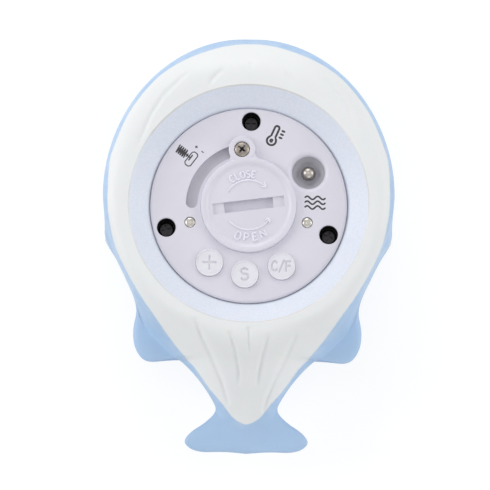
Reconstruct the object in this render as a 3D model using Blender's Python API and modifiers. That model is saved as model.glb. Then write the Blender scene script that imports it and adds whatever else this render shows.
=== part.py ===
"""Floating bath thermometer: a soft hollow whale with a round electronic module set into its belly.

The whale lies on its back, belly up, the head towards +Y.
Sizes are in millimetres. The helpers turn them into metres.
"""

import math

import bpy
import numpy as np
from mathutils import Matrix

MM = 0.001

# Whale body
BODY_LENGTH = 115.0
HEAD_LENGTH = 44.6
BODY_HALF_WIDTH = 40.5
MIDDLE_Z = 22.0
BACK_DEPTH = 21.0
FIN_HALF_THICKNESS = 2.8
BELLY_FULLNESS = 4.6
HEAD_FULLNESS = 3.4
BACK_FULLNESS = 2.4
SKIN = 2.2
HEAD_COUNT = 13
AROUND_COUNT = 48
CAVITY_COUNT = 24
ROOT_COUNT = 9
DENSE_RIBS = (6, 15)
EYE_Y = 1.5
EYE_Z = 16.5
EYE_SPREAD = 3.2
EYE_RISE = 1.7

# Ribs behind the widest section. Each row holds, in this order: the place of the middle and of the edge
# in shares of the tail length, edge and trunk width in shares of the half width, the middle in shares of
# its height, belly and back in shares of their depth, fullness, flare, and the fin edge in shares of its own
RIB_SHARES = (
    (0.0000, 0.0000, 1.0000, 1.0000, 1.000, 0.9995, 1.0005, 4.6, 0.00, 0.000),
    (0.0696, 0.0696, 0.9889, 0.9889, 0.995, 1.0063, 0.9952, 4.6, 0.00, 0.107),
    (0.1193, 0.1193, 0.9704, 0.9704, 0.991, 1.0117, 0.9910, 4.6, 0.00, 0.179),
    (0.1619, 0.1619, 0.9481, 0.9481, 0.986, 1.0185, 0.9806, 4.6, 0.00, 0.286),
    (0.2045, 0.2045, 0.9210, 0.9210, 0.977, 1.0307, 0.9659, 4.5, 0.00, 0.357),
    (0.2614, 0.2614, 0.8840, 0.8840, 0.964, 1.0484, 0.9429, 4.4, 0.00, 0.500),
    (0.3153, 0.3168, 0.8395, 0.8395, 0.945, 1.0688, 0.9041, 4.3, 0.00, 0.679),
    (0.3651, 0.3750, 0.7926, 0.7926, 0.927, 1.0864, 0.8611, 4.0, 0.02, 0.821),
    (0.4219, 0.4418, 0.7630, 0.7531, 0.909, 1.0986, 0.8046, 3.8, 0.10, 0.929),
    (0.4815, 0.5199, 0.7827, 0.7062, 0.891, 1.0986, 0.7291, 3.3, 0.35, 1.000),
    (0.5384, 0.5852, 0.7704, 0.6321, 0.873, 1.0674, 0.6474, 2.8, 0.65, 1.000),
    (0.5838, 0.6293, 0.7160, 0.5630, 0.855, 1.0049, 0.5720, 2.5, 0.80, 0.964),
    (0.6179, 0.6378, 0.6321, 0.5037, 0.841, 0.9384, 0.5091, 2.3, 0.75, 0.929),
    (0.6463, 0.6207, 0.5185, 0.4444, 0.827, 0.8651, 0.4568, 2.2, 0.60, 0.893),
    (0.6719, 0.6406, 0.4519, 0.4000, 0.814, 0.7890, 0.4054, 2.1, 0.50, 0.893),
    (0.7259, 0.7045, 0.3407, 0.3160, 0.782, 0.6165, 0.3007, 2.0, 0.25, 0.893),
    (0.7855, 0.7798, 0.2469, 0.2370, 0.745, 0.4332, 0.1990, 2.0, 0.10, 0.893),
    (0.8366, 0.8295, 0.2136, 0.1975, 0.718, 0.2960, 0.1519, 2.0, 0.20, 0.929),
    (0.8793, 0.8736, 0.2765, 0.1975, 0.700, 0.2349, 0.1330, 1.9, 0.60, 0.893),
    (0.9148, 0.9162, 0.3802, 0.1975, 0.691, 0.1915, 0.1194, 1.8, 0.90, 0.786),
    (0.9460, 0.9531, 0.4222, 0.1975, 0.682, 0.1602, 0.1048, 1.8, 1.00, 0.679),
    (0.9702, 0.9830, 0.3753, 0.1728, 0.682, 0.1236, 0.0911, 1.8, 1.00, 0.571),
    (0.9858, 0.9943, 0.2815, 0.1481, 0.682, 0.0923, 0.0670, 1.8, 1.00, 0.429),
    (0.9957, 0.9886, 0.1481, 0.0988, 0.682, 0.0557, 0.0430, 1.8, 1.00, 0.250),
)

# Seat in the belly
MODULE_BEHIND_WIDEST = 3.4
SEAT_RIM_RADIUS = 33.2
SEAT_RIM_Z = 36.8
BELLY_RISE = 1.4
SEAT_LIP = 0.35
SEAT_DROP = 4.4
COLLAR_WALL = 2.2
COLLAR_LENGTH = 6.0
FLAT_TO_RADIUS = 35.6
FLAT_FADE = 4.5
FLAT_BLEND = 6.0
FIT = 0.3
GAP = 0.1
LAP = 1.0
CUT_ROOM = 2.0

# Module face
DISC_RADIUS = 27.3
FACE_SUNK = 3.8
DISC_THICKNESS = 2.4
DISC_ROUND = 0.8
SKIRT_HEIGHT = 7.5
MODULE_WALL = 1.6

# Battery door
DOOR_RADIUS = 13.27
DOOR_RISE = 0.8
DOOR_RIM_RISE = 0.6
DOOR_RIM_WIDTH = 1.9
RECESS_DEPTH = 2.4
FLANGE_THICKNESS = 1.2
NECK_RADIUS = 9.5
NECK_WALL = 1.2
EAR_REACH = 1.5
EAR_THICKNESS = 1.3
EAR_SPAN_ANGLE = 40.0
EAR_ANGLE = 20.0
CLOSED_ANGLE = 7.3
OPEN_ANGLE = 80.0
LUG_RADIUS = 3.7
LUG_FROM_AXIS = 15.7
LUG_THICKNESS = 1.2
LUG_BOSS_RADIUS = 1.4
COIN_SLOT_LENGTH = 19.9
COIN_SLOT_DEEP_LENGTH = 13.6
COIN_SLOT_WIDTH = 3.05
COIN_SLOT_DEPTH = 2.0
ARC_SLOT_OUTER = 17.2
ARC_SLOT_WIDTH = 3.35
ARC_SLOT_DEPTH = 1.5
SEAL_WIDTH = 1.0
SEAL_THICKNESS = 0.6

# Button cells
CELL_RADIUS = 5.8
CELL_HEIGHT = 5.4
TUB_WALL = 1.4
SPRING_HEIGHT = 2.6
SPRING_WIRE = 0.5
CONTACT_THICKNESS = 0.3

# Cover screws
SCREWS_FROM_AXIS = 23.6
SCREW_ANGLES = (88.8, 195.7, 340.2)
SCREW_WELL_RADIUS = 2.6
SCREW_TUBE_WALL = 0.8
SCREW_HEAD_RADIUS = 2.3
SCREW_HEAD_HEIGHT = 1.6
SCREW_SHANK_RADIUS = 0.95
SCREW_LENGTH = 11.0
DOOR_SCREW_HEAD_RADIUS = 2.0
DOOR_SCREW_SHANK_RADIUS = 0.75

# Keys
KEYS_FROM_AXIS = 19.4
KEY_ANGLES = (236.6, 267.4, 298.6)
KEY_RADIUS = 3.8
KEY_RISE = 0.8
KEY_RIM = 0.25
KEY_TRAVEL = 0.6
KEY_FLANGE = 0.5
KEY_FLANGE_THICKNESS = 0.8
KEY_STEM_RADIUS = 1.5

# Probe and water contacts
PROBE_FROM_AXIS = 19.07
PROBE_ANGLE = 30.1
PROBE_DISH_RADIUS = 5.3
PROBE_CUP_RADIUS = 4.27
PROBE_CUP_DEPTH = 3.3
PROBE_RADIUS = 1.75
CONTACTS_FROM_AXIS = 16.9
CONTACT_ANGLES = (196.7, 344.0)
CONTACT_RADIUS = 1.44

# Housing and display
SHOULDER_Z = 8.8
BEZEL_RADIUS = 23.2
BEZEL_WALL = 1.2
LENS_RADIUS = 20.6
LENS_THICKNESS = 1.2
LENS_SUNK = 0.5
LEDGE_WIDTH = 1.6
LEDGE_THICKNESS = 1.1
PILLAR_RADIUS = 2.6
GLASS_LENGTH = 33.0
GLASS_WIDTH = 20.0
GLASS_THICKNESS = 2.0
STRIP_HEIGHT = 1.6
STRIP_WIDTH = 1.8
BOARD_THICKNESS = 1.0

# Key board
KEY_BOARD_ANGLE = 107.0
KEY_BOARD_INNER = 15.7
KEY_BOARD_OUTER = 23.0
SWITCH_SIDE = 4.4
SWITCH_HEIGHT = 1.5
PLUNGER_RADIUS = 0.9
PLUNGER_HEIGHT = 0.3
POST_RADIUS = 1.2
RIBBON_WIDTH = 6.0
RIBBON_THICKNESS = 0.3
RIBBON_LAP = 2.5
RIBBON_BEND = 1.0

# Places that follow from the sizes
TAIL_LENGTH = BODY_LENGTH - HEAD_LENGTH
WIDEST_Y = BODY_LENGTH / 2 - HEAD_LENGTH
MODULE_Y = WIDEST_Y - MODULE_BEHIND_WIDEST
BELLY_HEIGHT = SEAT_RIM_Z + BELLY_RISE - MIDDLE_Z
FACE_Z = SEAT_RIM_Z - FACE_SUNK
DISC_UNDER_Z = FACE_Z - DISC_THICKNESS
SKIRT_Z = FACE_Z - SKIRT_HEIGHT
BORE_RADIUS = DISC_RADIUS + FIT + 0.05
DOOR_FACE_Z = FACE_Z + DOOR_RISE
DOOR_TOP_Z = DOOR_FACE_Z + DOOR_RIM_RISE
RECESS_RADIUS = DOOR_RADIUS + FIT
RECESS_Z = FACE_Z - RECESS_DEPTH
DOOR_UNDER_Z = RECESS_Z + FIT
FLANGE_UNDER_Z = RECESS_Z - FLANGE_THICKNESS
OPENING_RADIUS = NECK_RADIUS + 0.4
EAR_RADIUS = NECK_RADIUS + EAR_REACH
EAR_TOP_Z = FLANGE_UNDER_Z - FIT
NECK_Z = EAR_TOP_Z - EAR_THICKNESS
EAR_ROOM_RADIUS = EAR_RADIUS + 0.5
EAR_ROOM_Z = NECK_Z - 0.7
SHELF_UNDER_Z = EAR_ROOM_Z - FLANGE_THICKNESS
RECESS_WALL_RADIUS = RECESS_RADIUS + 1.2
TUB_RADIUS = CELL_RADIUS + 0.4
CONTACT_TOP_Z = NECK_Z - GAP
UPPER_CELL_Z = CONTACT_TOP_Z - CONTACT_THICKNESS - GAP - CELL_HEIGHT
LOWER_CELL_Z = UPPER_CELL_Z - GAP - CELL_HEIGHT
TUB_FLOOR_Z = LOWER_CELL_Z - SPRING_HEIGHT - 0.2
TUB_BOTTOM_Z = TUB_FLOOR_Z - FLANGE_THICKNESS
ARC_SLOT_CENTRE = ARC_SLOT_OUTER - ARC_SLOT_WIDTH / 2
ARC_SLOT_Z = FACE_Z - ARC_SLOT_DEPTH
LUG_ANGLE = CLOSED_ANGLE + 90
LUG_Z = DOOR_TOP_Z - LUG_THICKNESS
LUG_BOSS_Z = ARC_SLOT_Z + FIT
HOUSING_TOP_Z = SKIRT_Z - SEAL_THICKNESS - 0.4
SCREW_FLOOR_Z = SKIRT_Z + 1.4
SHELL_INNER_RADIUS = DISC_RADIUS - MODULE_WALL
KEY_BOARD_Z = HOUSING_TOP_Z
KEY_BOARD_TOP_Z = KEY_BOARD_Z + BOARD_THICKNESS
PLUNGER_TOP_Z = KEY_BOARD_TOP_Z + GAP + SWITCH_HEIGHT + PLUNGER_HEIGHT
KEY_STEM_Z = PLUNGER_TOP_Z + KEY_TRAVEL + FIT
KEY_FLANGE_TOP_Z = DISC_UNDER_Z - FIT
KEY_TOP_Z = FACE_Z + KEY_RISE
PROBE_FLOOR_Z = FACE_Z - PROBE_CUP_DEPTH
LENS_TOP_Z = LENS_SUNK + LENS_THICKNESS
LEDGE_Z = LENS_TOP_Z + 0.2
GLASS_Z = LEDGE_Z + LEDGE_THICKNESS + 0.2
STRIP_Z = GLASS_Z + GLASS_THICKNESS + GAP
DISPLAY_BOARD_Z = STRIP_Z + STRIP_HEIGHT + GAP

for found in list(bpy.data.objects):
    bpy.data.objects.remove(found, do_unlink=True)

OBJECT = bpy.data.collections.new("bath_thermometer")
CUTTERS = bpy.data.collections.new("cutters")
CUTTERS.hide_render = True
bpy.context.scene.collection.children.link(OBJECT)
bpy.context.scene.collection.children.link(CUTTERS)


def material(name, colour, roughness, metallic=0.0):
    """A Principled material with this name, linear colour, roughness and metallic value."""
    made = bpy.data.materials.new(name)
    made.use_nodes = True
    shader = made.node_tree.nodes["Principled BSDF"]
    shader.inputs["Base Color"].default_value = (*colour, 1.0)
    shader.inputs["Roughness"].default_value = roughness
    shader.inputs["Metallic"].default_value = metallic
    made.diffuse_color = (*colour, 1.0)
    return made


VINYL = material("vinyl_skin", (0.42, 0.60, 0.84), 0.5)
SHELL = material("module_plastic", (0.70, 0.68, 0.76), 0.42)
DOOR = material("door_plastic", (0.72, 0.70, 0.78), 0.38)
KEYS = material("key_silicone", (0.74, 0.72, 0.80), 0.55)
STEEL = material("steel", (0.62, 0.59, 0.55), 0.25, 1.0)
BLACK_STEEL = material("blackened_steel", (0.02, 0.02, 0.025), 0.45, 0.6)
SEAL = material("seal_rubber", (0.03, 0.03, 0.03), 0.7)
LENS = material("lens_plastic", (0.75, 0.78, 0.80), 0.08)
GLASS = material("display_glass", (0.30, 0.34, 0.30), 0.15)
BOARD = material("circuit_board", (0.02, 0.16, 0.06), 0.5)
STRIP = material("connector_rubber", (0.55, 0.25, 0.30), 0.6)
RIBBON = material("ribbon_film", (0.55, 0.30, 0.06), 0.4)
SWITCH = material("switch_metal", (0.55, 0.55, 0.56), 0.35, 0.9)
CELL = material("cell_can", (0.66, 0.66, 0.67), 0.28, 1.0)


def node(name, mesh, look, helper=False):
    """An object of this mesh, in the object's own collection or among the cutters."""
    made = bpy.data.objects.new(name, mesh)
    if helper:
        CUTTERS.objects.link(made)
        made.hide_render = True
        made.display_type = "WIRE"
    else:
        OBJECT.objects.link(made)
        mesh.materials.append(look)
    return made


def at_angle(from_axis, degrees):
    """The place of a point on the module's face, from its distance and its angle."""
    turn = math.radians(degrees)
    return from_axis * math.cos(turn), MODULE_Y + from_axis * math.sin(turn)


def turned(name, profile, look=None, place=(0.0, MODULE_Y), steps=32):
    """A profile of (radius, height) points turned about the vertical through the place."""
    mesh = bpy.data.meshes.new(name)
    points = [(radius * MM, 0.0, height * MM) for radius, height in profile]
    on_axis = profile[0][0] == 0 and profile[-1][0] == 0
    edges = [(index, index + 1) for index in range(len(points) - 1)]
    if not on_axis:
        edges.append((len(points) - 1, 0))
    mesh.from_pydata(points, edges, [])
    made = node(name, mesh, look, helper=look is None)
    made.location = (place[0] * MM, place[1] * MM, 0.0)
    screw = made.modifiers.new("turn", "SCREW")
    screw.axis = "Z"
    screw.steps = steps
    screw.render_steps = steps
    screw.use_merge_vertices = True
    screw.merge_threshold = 0.000002
    screw.use_smooth_shade = False
    return made


def rod(name, radius, bottom, top, look=None, place=(0.0, MODULE_Y), steps=24):
    """A plain upright cylinder."""
    return turned(name, [(0, top), (radius, top), (radius, bottom), (0, bottom)], look, place, steps)


def ring(name, inner, outer, bottom, top, look=None, steps=48):
    """A flat ring about the module's axis."""
    profile = [(inner, top), (outer, top), (outer, bottom), (inner, bottom)]
    return turned(name, profile, look, steps=steps)


def prism(name, outline, bottom, top, look=None, frame=None):
    """A flat outline raised between two heights, and moved by the frame where one is given."""
    curve = bpy.data.curves.new(name + "_outline", "CURVE")
    curve.dimensions = "2D"
    curve.fill_mode = "BOTH"
    curve.extrude = (top - bottom) / 2 * MM
    line = curve.splines.new("POLY")
    line.points.add(len(outline) - 1)
    for point, (x, y) in zip(line.points, outline):
        point.co = (x * MM, y * MM, 0.0, 1.0)
    line.use_cyclic_u = True
    drawn = bpy.data.objects.new(name + "_drawn", curve)
    CUTTERS.objects.link(drawn)
    graph = bpy.context.evaluated_depsgraph_get()
    mesh = bpy.data.meshes.new_from_object(drawn.evaluated_get(graph))
    bpy.data.objects.remove(drawn, do_unlink=True)
    mesh.name = name
    mesh.materials.clear()
    mesh.transform(Matrix.Translation((0.0, 0.0, (bottom + top) / 2 * MM)))
    if frame is not None:
        mesh.transform(frame)
    made = node(name, mesh, look, helper=look is None)
    weld = made.modifiers.new("join_edges", "WELD")
    weld.merge_threshold = 0.000002
    return made


def sector(inner, outer, start, end, steps=16):
    """The outline of a piece of a flat ring about the module's axis, between two angles."""
    angles = np.linspace(start, end, steps + 1)
    far = [at_angle(outer, angle) for angle in angles]
    near = [at_angle(inner, angle) for angle in angles[::-1]]
    return far + near


def rectangle(length, width, centre=(0.0, 0.0)):
    """The outline of a rectangle about a centre."""
    half, side = length / 2, width / 2
    corners = ((-half, -side), (half, -side), (half, side), (-half, side))
    return [(centre[0] + x, centre[1] + y) for x, y in corners]


def rounded(centre_radius, centre_z, size, start, end, steps=4):
    """Points on a quarter round of a turned profile, between two angles."""
    angles = np.radians(np.linspace(start, end, steps + 1))
    return [(centre_radius + size * math.cos(a), centre_z + size * math.sin(a)) for a in angles]


def joined(target, others, operation):
    """Adds or takes away the other shapes, one after the other."""
    for other in others:
        change = target.modifiers.new(operation.lower() + "_" + other.name, "BOOLEAN")
        change.operation = operation
        change.solver = "EXACT"
        change.object = other
    return target


def parent(child, owner):
    """Makes one piece ride on another and keeps it where it is."""
    child.parent = owner
    child.matrix_parent_inverse = Matrix.Translation(owner.location).inverted()


def whale_stations():
    """The cross-sections from head to tail, in millimetres, with the columns of the ribs."""
    turns = np.linspace(90, 0, HEAD_COUNT + 1)[1:-1]
    found = []
    for turn in np.radians(turns):
        along = math.sin(turn)
        y = WIDEST_Y + HEAD_LENGTH * along
        width = BODY_HALF_WIDTH * math.cos(turn)
        top = MIDDLE_Z + BELLY_HEIGHT * (1 - along**HEAD_FULLNESS) ** (1 / HEAD_FULLNESS)
        bottom = MIDDLE_Z - BACK_DEPTH * (1 - along**BACK_FULLNESS) ** (1 / BACK_FULLNESS)
        found.append((y, y, width, width, MIDDLE_Z, top, bottom, BELLY_FULLNESS, 0.0, 0.0))
    for rib in RIB_SHARES:
        centre_back, edge_back, edge, trunk, middle, belly, back, fullness, flare, fin_edge = rib
        places = WIDEST_Y - centre_back * TAIL_LENGTH, WIDEST_Y - edge_back * TAIL_LENGTH
        widths = edge * BODY_HALF_WIDTH, trunk * BODY_HALF_WIDTH
        level = middle * MIDDLE_Z
        heights = level, level + belly * BELLY_HEIGHT, level - back * BACK_DEPTH
        found.append((*places, *widths, *heights, fullness, flare, fin_edge * FIN_HALF_THICKNESS))
    first, last = (HEAD_COUNT - 1 + rib for rib in DENSE_RIBS)
    for index in range(last, first, -1):
        found.insert(index, halfway(found[index - 2 : index + 2]))
    return found


def halfway(rows):
    """The cross-section halfway between the two middle ones of four, on a smooth curve through all four."""
    before, first, second, after = np.array(rows)
    return tuple((9 * (first + second) - before - after) / 16)


def dome(share, fullness, flare):
    """How high a trunk stands at a share of its half width, from 1 at the middle to 0 at the edge."""
    power = (1 - flare) / fullness + flare * 1.1
    return (1 - np.clip(share, 0, 1) ** fullness) ** power


def spread(across, trunk_share):
    """Moves the points of a section so that one of them always stands at the root of the fin."""
    root = math.sin(ROOT_COUNT * 2 * math.pi / AROUND_COUNT)
    if trunk_share >= root:
        return across
    size = np.abs(across)
    on_fin = trunk_share + (1 - trunk_share) * (size - root) / (1 - root)
    return np.sign(across) * np.where(size > root + 0.001, on_fin, size * trunk_share / root)


def whale_section(row, inset, count):
    """The points of one cross-section. The inset one leaves out the fins and the tail flukes."""
    centre_y, edge_y, edge, trunk, middle, top, bottom, fullness, flare, half_edge = row
    around = np.arange(count) / count * 2 * math.pi
    reach = trunk - inset if inset else edge
    x = reach * (np.sin(around) if inset else spread(np.sin(around), trunk / edge))
    upper = np.cos(around) > -1e-9
    share = np.abs(x) / (trunk - inset)
    above = (top - middle - inset) * dome(share, fullness, flare)
    below = (middle - bottom - inset) * dome(share, BACK_FULLNESS, flare)
    trunk_height = np.where(upper, above, below)
    blade = 0.0 if inset else half_edge * np.sqrt(np.clip(1 - (np.abs(x) / edge) ** 4, 0, 1))
    height = np.cbrt(trunk_height**3 + blade**3)
    z = np.where(upper, middle + height, middle - height)
    y = centre_y + (edge_y - centre_y) * (np.abs(x) / edge) ** 2
    if not inset:
        from_axis = np.hypot(x, y - MODULE_Y)
        fade = np.clip((FLAT_TO_RADIUS + FLAT_FADE - from_axis) / FLAT_FADE, 0, 1)
        fade = fade * fade * (3 - 2 * fade)
        flat = SEAT_RIM_Z + SEAT_LIP
        z = np.where(upper, z + (flat - z) * fade * np.clip(trunk_height / FLAT_BLEND, 0, 1), z)
    off = ((y - EYE_Y) ** 2 + (z - EYE_Z) ** 2) / (2 * EYE_SPREAD**2)
    x = x + np.sign(x) * EYE_RISE * np.exp(-off) * (np.abs(x) > reach / 2)
    return np.column_stack([x, y, z])


def loft(name, sections, first, last, look=None):
    """A closed skin over the sections, with a pole at each end."""
    count = len(sections[0])
    points = np.vstack([first, *sections, last]) * MM
    faces = []
    for index in range(count):
        after = (index + 1) % count
        faces.append((0, 1 + index, 1 + after))
        for row in range(len(sections) - 1):
            near = 1 + row * count
            far = near + count
            if index < count / 2:
                faces.append((near + index, far + index, near + after))
                faces.append((far + index, far + after, near + after))
            else:
                faces.append((near + index, far + index, far + after))
                faces.append((near + index, far + after, near + after))
        end = 1 + (len(sections) - 1) * count
        faces.append((end + index, len(points) - 1, end + after))
    mesh = bpy.data.meshes.new(name)
    mesh.from_pydata([tuple(point) for point in points], [], faces)
    return node(name, mesh, look, helper=look is None)


def build_body():
    """The hollow vinyl whale with its seat for the module."""
    stations = whale_stations()
    skin = [whale_section(row, 0.0, AROUND_COUNT) for row in stations]
    head = (0.0, WIDEST_Y + HEAD_LENGTH, MIDDLE_Z)
    tail = (0.0, WIDEST_Y - TAIL_LENGTH, RIB_SHARES[-1][4] * MIDDLE_Z)
    body = loft("body_shell", skin, head, tail, VINYL)
    roomy = [row for row in stations if row[3] > 4 * SKIN and row[5] - row[6] > 4 * SKIN]
    roomy = [row for row in roomy if row[0] < head[1] - SKIN]
    thinned = roomy[:-1:2] + roomy[-1:]
    hollow = [whale_section(row, SKIN, CAVITY_COUNT) for row in thinned]
    front = (0.0, head[1] - SKIN, MIDDLE_Z)
    back = (0.0, roomy[-1][0] - SKIN, roomy[-1][4])
    cavity = loft("body_cavity", hollow, front, back)
    sleeve = BORE_RADIUS + COLLAR_WALL
    profile = [
        (BORE_RADIUS - LAP, SEAT_RIM_Z - LAP),
        (SEAT_RIM_RADIUS + LAP / 2, SEAT_RIM_Z - LAP / 2),
        (SEAT_RIM_RADIUS + LAP / 2, SEAT_RIM_Z - COLLAR_WALL),
        (sleeve, SEAT_RIM_Z - SEAT_DROP - COLLAR_WALL),
        (sleeve, SEAT_RIM_Z - SEAT_DROP - COLLAR_LENGTH),
        (BORE_RADIUS - LAP, SEAT_RIM_Z - SEAT_DROP - COLLAR_LENGTH),
    ]
    collar = turned("module_collar", profile, steps=64)
    profile = [
        (0, SEAT_RIM_Z + COLLAR_LENGTH),
        (SEAT_RIM_RADIUS, SEAT_RIM_Z + COLLAR_LENGTH),
        (SEAT_RIM_RADIUS, SEAT_RIM_Z),
        (BORE_RADIUS, SEAT_RIM_Z - SEAT_DROP),
        (BORE_RADIUS, SHOULDER_Z - FIT),
        (BEZEL_RADIUS + FIT, SHOULDER_Z - FIT),
        (BEZEL_RADIUS + FIT, -LAP),
        (0, -LAP),
    ]
    seat = turned("module_seat", profile, steps=64)
    joined(body, [cavity], "DIFFERENCE")
    joined(body, [collar], "UNION")
    joined(body, [seat], "DIFFERENCE")


def build_base():
    """The plate of the module, with its battery tub, wells, slots and key holes in one moulding."""
    edge = rounded(DISC_RADIUS - DISC_ROUND, FACE_Z - DISC_ROUND, DISC_ROUND, 90, 0, 3)
    profile = [
        (0, TUB_FLOOR_Z),
        (TUB_RADIUS, TUB_FLOOR_Z),
        (TUB_RADIUS, EAR_ROOM_Z),
        (EAR_ROOM_RADIUS, EAR_ROOM_Z),
        (EAR_ROOM_RADIUS, FLANGE_UNDER_Z),
        (OPENING_RADIUS, FLANGE_UNDER_Z),
        (OPENING_RADIUS, RECESS_Z),
        (RECESS_RADIUS, RECESS_Z),
        (RECESS_RADIUS, FACE_Z),
        *edge,
        (DISC_RADIUS, SKIRT_Z),
        (SHELL_INNER_RADIUS, SKIRT_Z),
        (SHELL_INNER_RADIUS, DISC_UNDER_Z),
        (RECESS_WALL_RADIUS, DISC_UNDER_Z),
        (RECESS_WALL_RADIUS, SHELF_UNDER_Z),
        (TUB_RADIUS + TUB_WALL, SHELF_UNDER_Z),
        (TUB_RADIUS + TUB_WALL, TUB_BOTTOM_Z),
        (0, TUB_BOTTOM_Z),
    ]
    base = turned("module_base", profile, SHELL, steps=48)
    inside = DISC_UNDER_Z + DISC_THICKNESS / 2
    added = []
    cut = []
    for index, angle in enumerate(SCREW_ANGLES):
        place = at_angle(SCREWS_FROM_AXIS, angle)
        tube = SCREW_WELL_RADIUS + SCREW_TUBE_WALL
        added.append(rod(f"screw_tube_{index}", tube, SKIRT_Z + 0.2, inside, place=place, steps=20))
        well = [
            (0, FACE_Z + CUT_ROOM),
            (SCREW_WELL_RADIUS, FACE_Z + CUT_ROOM),
            (SCREW_WELL_RADIUS, SCREW_FLOOR_Z),
            (SCREW_SHANK_RADIUS + FIT, SCREW_FLOOR_Z),
            (SCREW_SHANK_RADIUS + FIT, SKIRT_Z - CUT_ROOM),
            (0, SKIRT_Z - CUT_ROOM),
        ]
        cut.append(turned(f"screw_well_{index}", well, place=place, steps=24))
    for index, side in enumerate((-1, 1)):
        place = at_angle(KEYS_FROM_AXIS, KEY_ANGLES[1] + side * (KEY_BOARD_ANGLE / 2 - 5.3))
        name = f"board_post_{index}"
        added.append(rod(name, POST_RADIUS, KEY_BOARD_TOP_Z + GAP, inside, place=place, steps=12))
    for index, angle in enumerate(KEY_ANGLES):
        place = at_angle(KEYS_FROM_AXIS, angle)
        hole = KEY_RADIUS + FIT / 2
        top = FACE_Z + CUT_ROOM
        cut.append(rod(f"key_hole_{index}", hole, DISC_UNDER_Z - 0.5, top, place=place, steps=28))
    place = at_angle(PROBE_FROM_AXIS, PROBE_ANGLE)
    under = PROBE_FLOOR_Z - FLANGE_THICKNESS
    added.append(rod("probe_cup_outside", PROBE_DISH_RADIUS, under, inside, place=place, steps=24))
    rim = PROBE_DISH_RADIUS - PROBE_CUP_RADIUS
    dish = [
        (0, FACE_Z + CUT_ROOM),
        (PROBE_DISH_RADIUS + 0.2, FACE_Z + CUT_ROOM),
        (PROBE_DISH_RADIUS - 0.06, FACE_Z - 0.05),
        (PROBE_CUP_RADIUS + rim * 0.45, FACE_Z - rim * 0.3),
        (PROBE_CUP_RADIUS + rim * 0.12, FACE_Z - rim * 0.75),
        (PROBE_CUP_RADIUS, FACE_Z - rim * 1.25),
        (PROBE_CUP_RADIUS - 0.15, PROBE_FLOOR_Z + 0.5),
        (PROBE_CUP_RADIUS - 0.6, PROBE_FLOOR_Z),
        (PROBE_RADIUS - 0.15, PROBE_FLOOR_Z),
        (PROBE_RADIUS - 0.15, PROBE_FLOOR_Z - 3),
        (0, PROBE_FLOOR_Z - 3),
    ]
    cut.append(turned("probe_dish", dish, place=place, steps=24))
    for index, angle in enumerate(CONTACT_ANGLES):
        hole = [
            (0, FACE_Z + CUT_ROOM),
            (CONTACT_RADIUS + 0.08, FACE_Z + CUT_ROOM),
            (CONTACT_RADIUS + 0.08, FACE_Z - 0.85),
            (CONTACT_RADIUS - 0.4, FACE_Z - 0.85),
            (CONTACT_RADIUS - 0.4, DISC_UNDER_Z - 1),
            (0, DISC_UNDER_Z - 1),
        ]
        place = at_angle(CONTACTS_FROM_AXIS, angle)
        cut.append(turned(f"contact_hole_{index}", hole, place=place, steps=16))
    pilot = at_angle(LUG_FROM_AXIS, LUG_ANGLE)
    added.append(rod("pilot_boss", LUG_BOSS_RADIUS + 0.8, SHELF_UNDER_Z + 0.5, inside, place=pilot, steps=12))
    cut.append(rod("pilot_hole", DOOR_SCREW_SHANK_RADIUS, SHELF_UNDER_Z + 1.5, FACE_Z, place=pilot, steps=12))
    cut.append(arc_slot())
    for index in range(2):
        middle = EAR_ANGLE + OPEN_ANGLE + 180 * index
        half = EAR_SPAN_ANGLE / 2 + 2
        outline = sector(NECK_RADIUS - 1, EAR_RADIUS + 0.3, middle - half, middle + half, 10)
        cut.append(prism(f"ear_notch_{index}", outline, FLANGE_UNDER_Z - 0.5, RECESS_Z + 0.5))
    joined(base, added, "UNION")
    joined(base, cut, "DIFFERENCE")


def arc_slot():
    """The curved slot beside the door, in which the boss of the lug travels."""
    half = ARC_SLOT_WIDTH / 2
    start = LUG_ANGLE
    end = LUG_ANGLE + OPEN_ANGLE
    outline = [at_angle(ARC_SLOT_OUTER, angle) for angle in np.linspace(start, end, 17)]
    ends = np.radians(np.linspace(0, 180, 9))[1:]
    for turn in ends:
        along = ARC_SLOT_CENTRE + half * math.cos(turn)
        aside = half * math.sin(turn)
        x, y = at_angle(along, end)
        tilt = math.radians(end)
        outline.append((x - aside * math.sin(tilt), y + aside * math.cos(tilt)))
    inner = DOOR_RADIUS - 0.4
    outline += [at_angle(inner, angle) for angle in np.linspace(end, start, 17)]
    for turn in ends[::-1]:
        along = ARC_SLOT_CENTRE + half * math.cos(turn)
        aside = half * math.sin(turn)
        x, y = at_angle(along, start)
        tilt = math.radians(start)
        outline.append((x + aside * math.sin(tilt), y - aside * math.cos(tilt)))
    return prism("arc_slot", outline, ARC_SLOT_Z, FACE_Z + CUT_ROOM)


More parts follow.
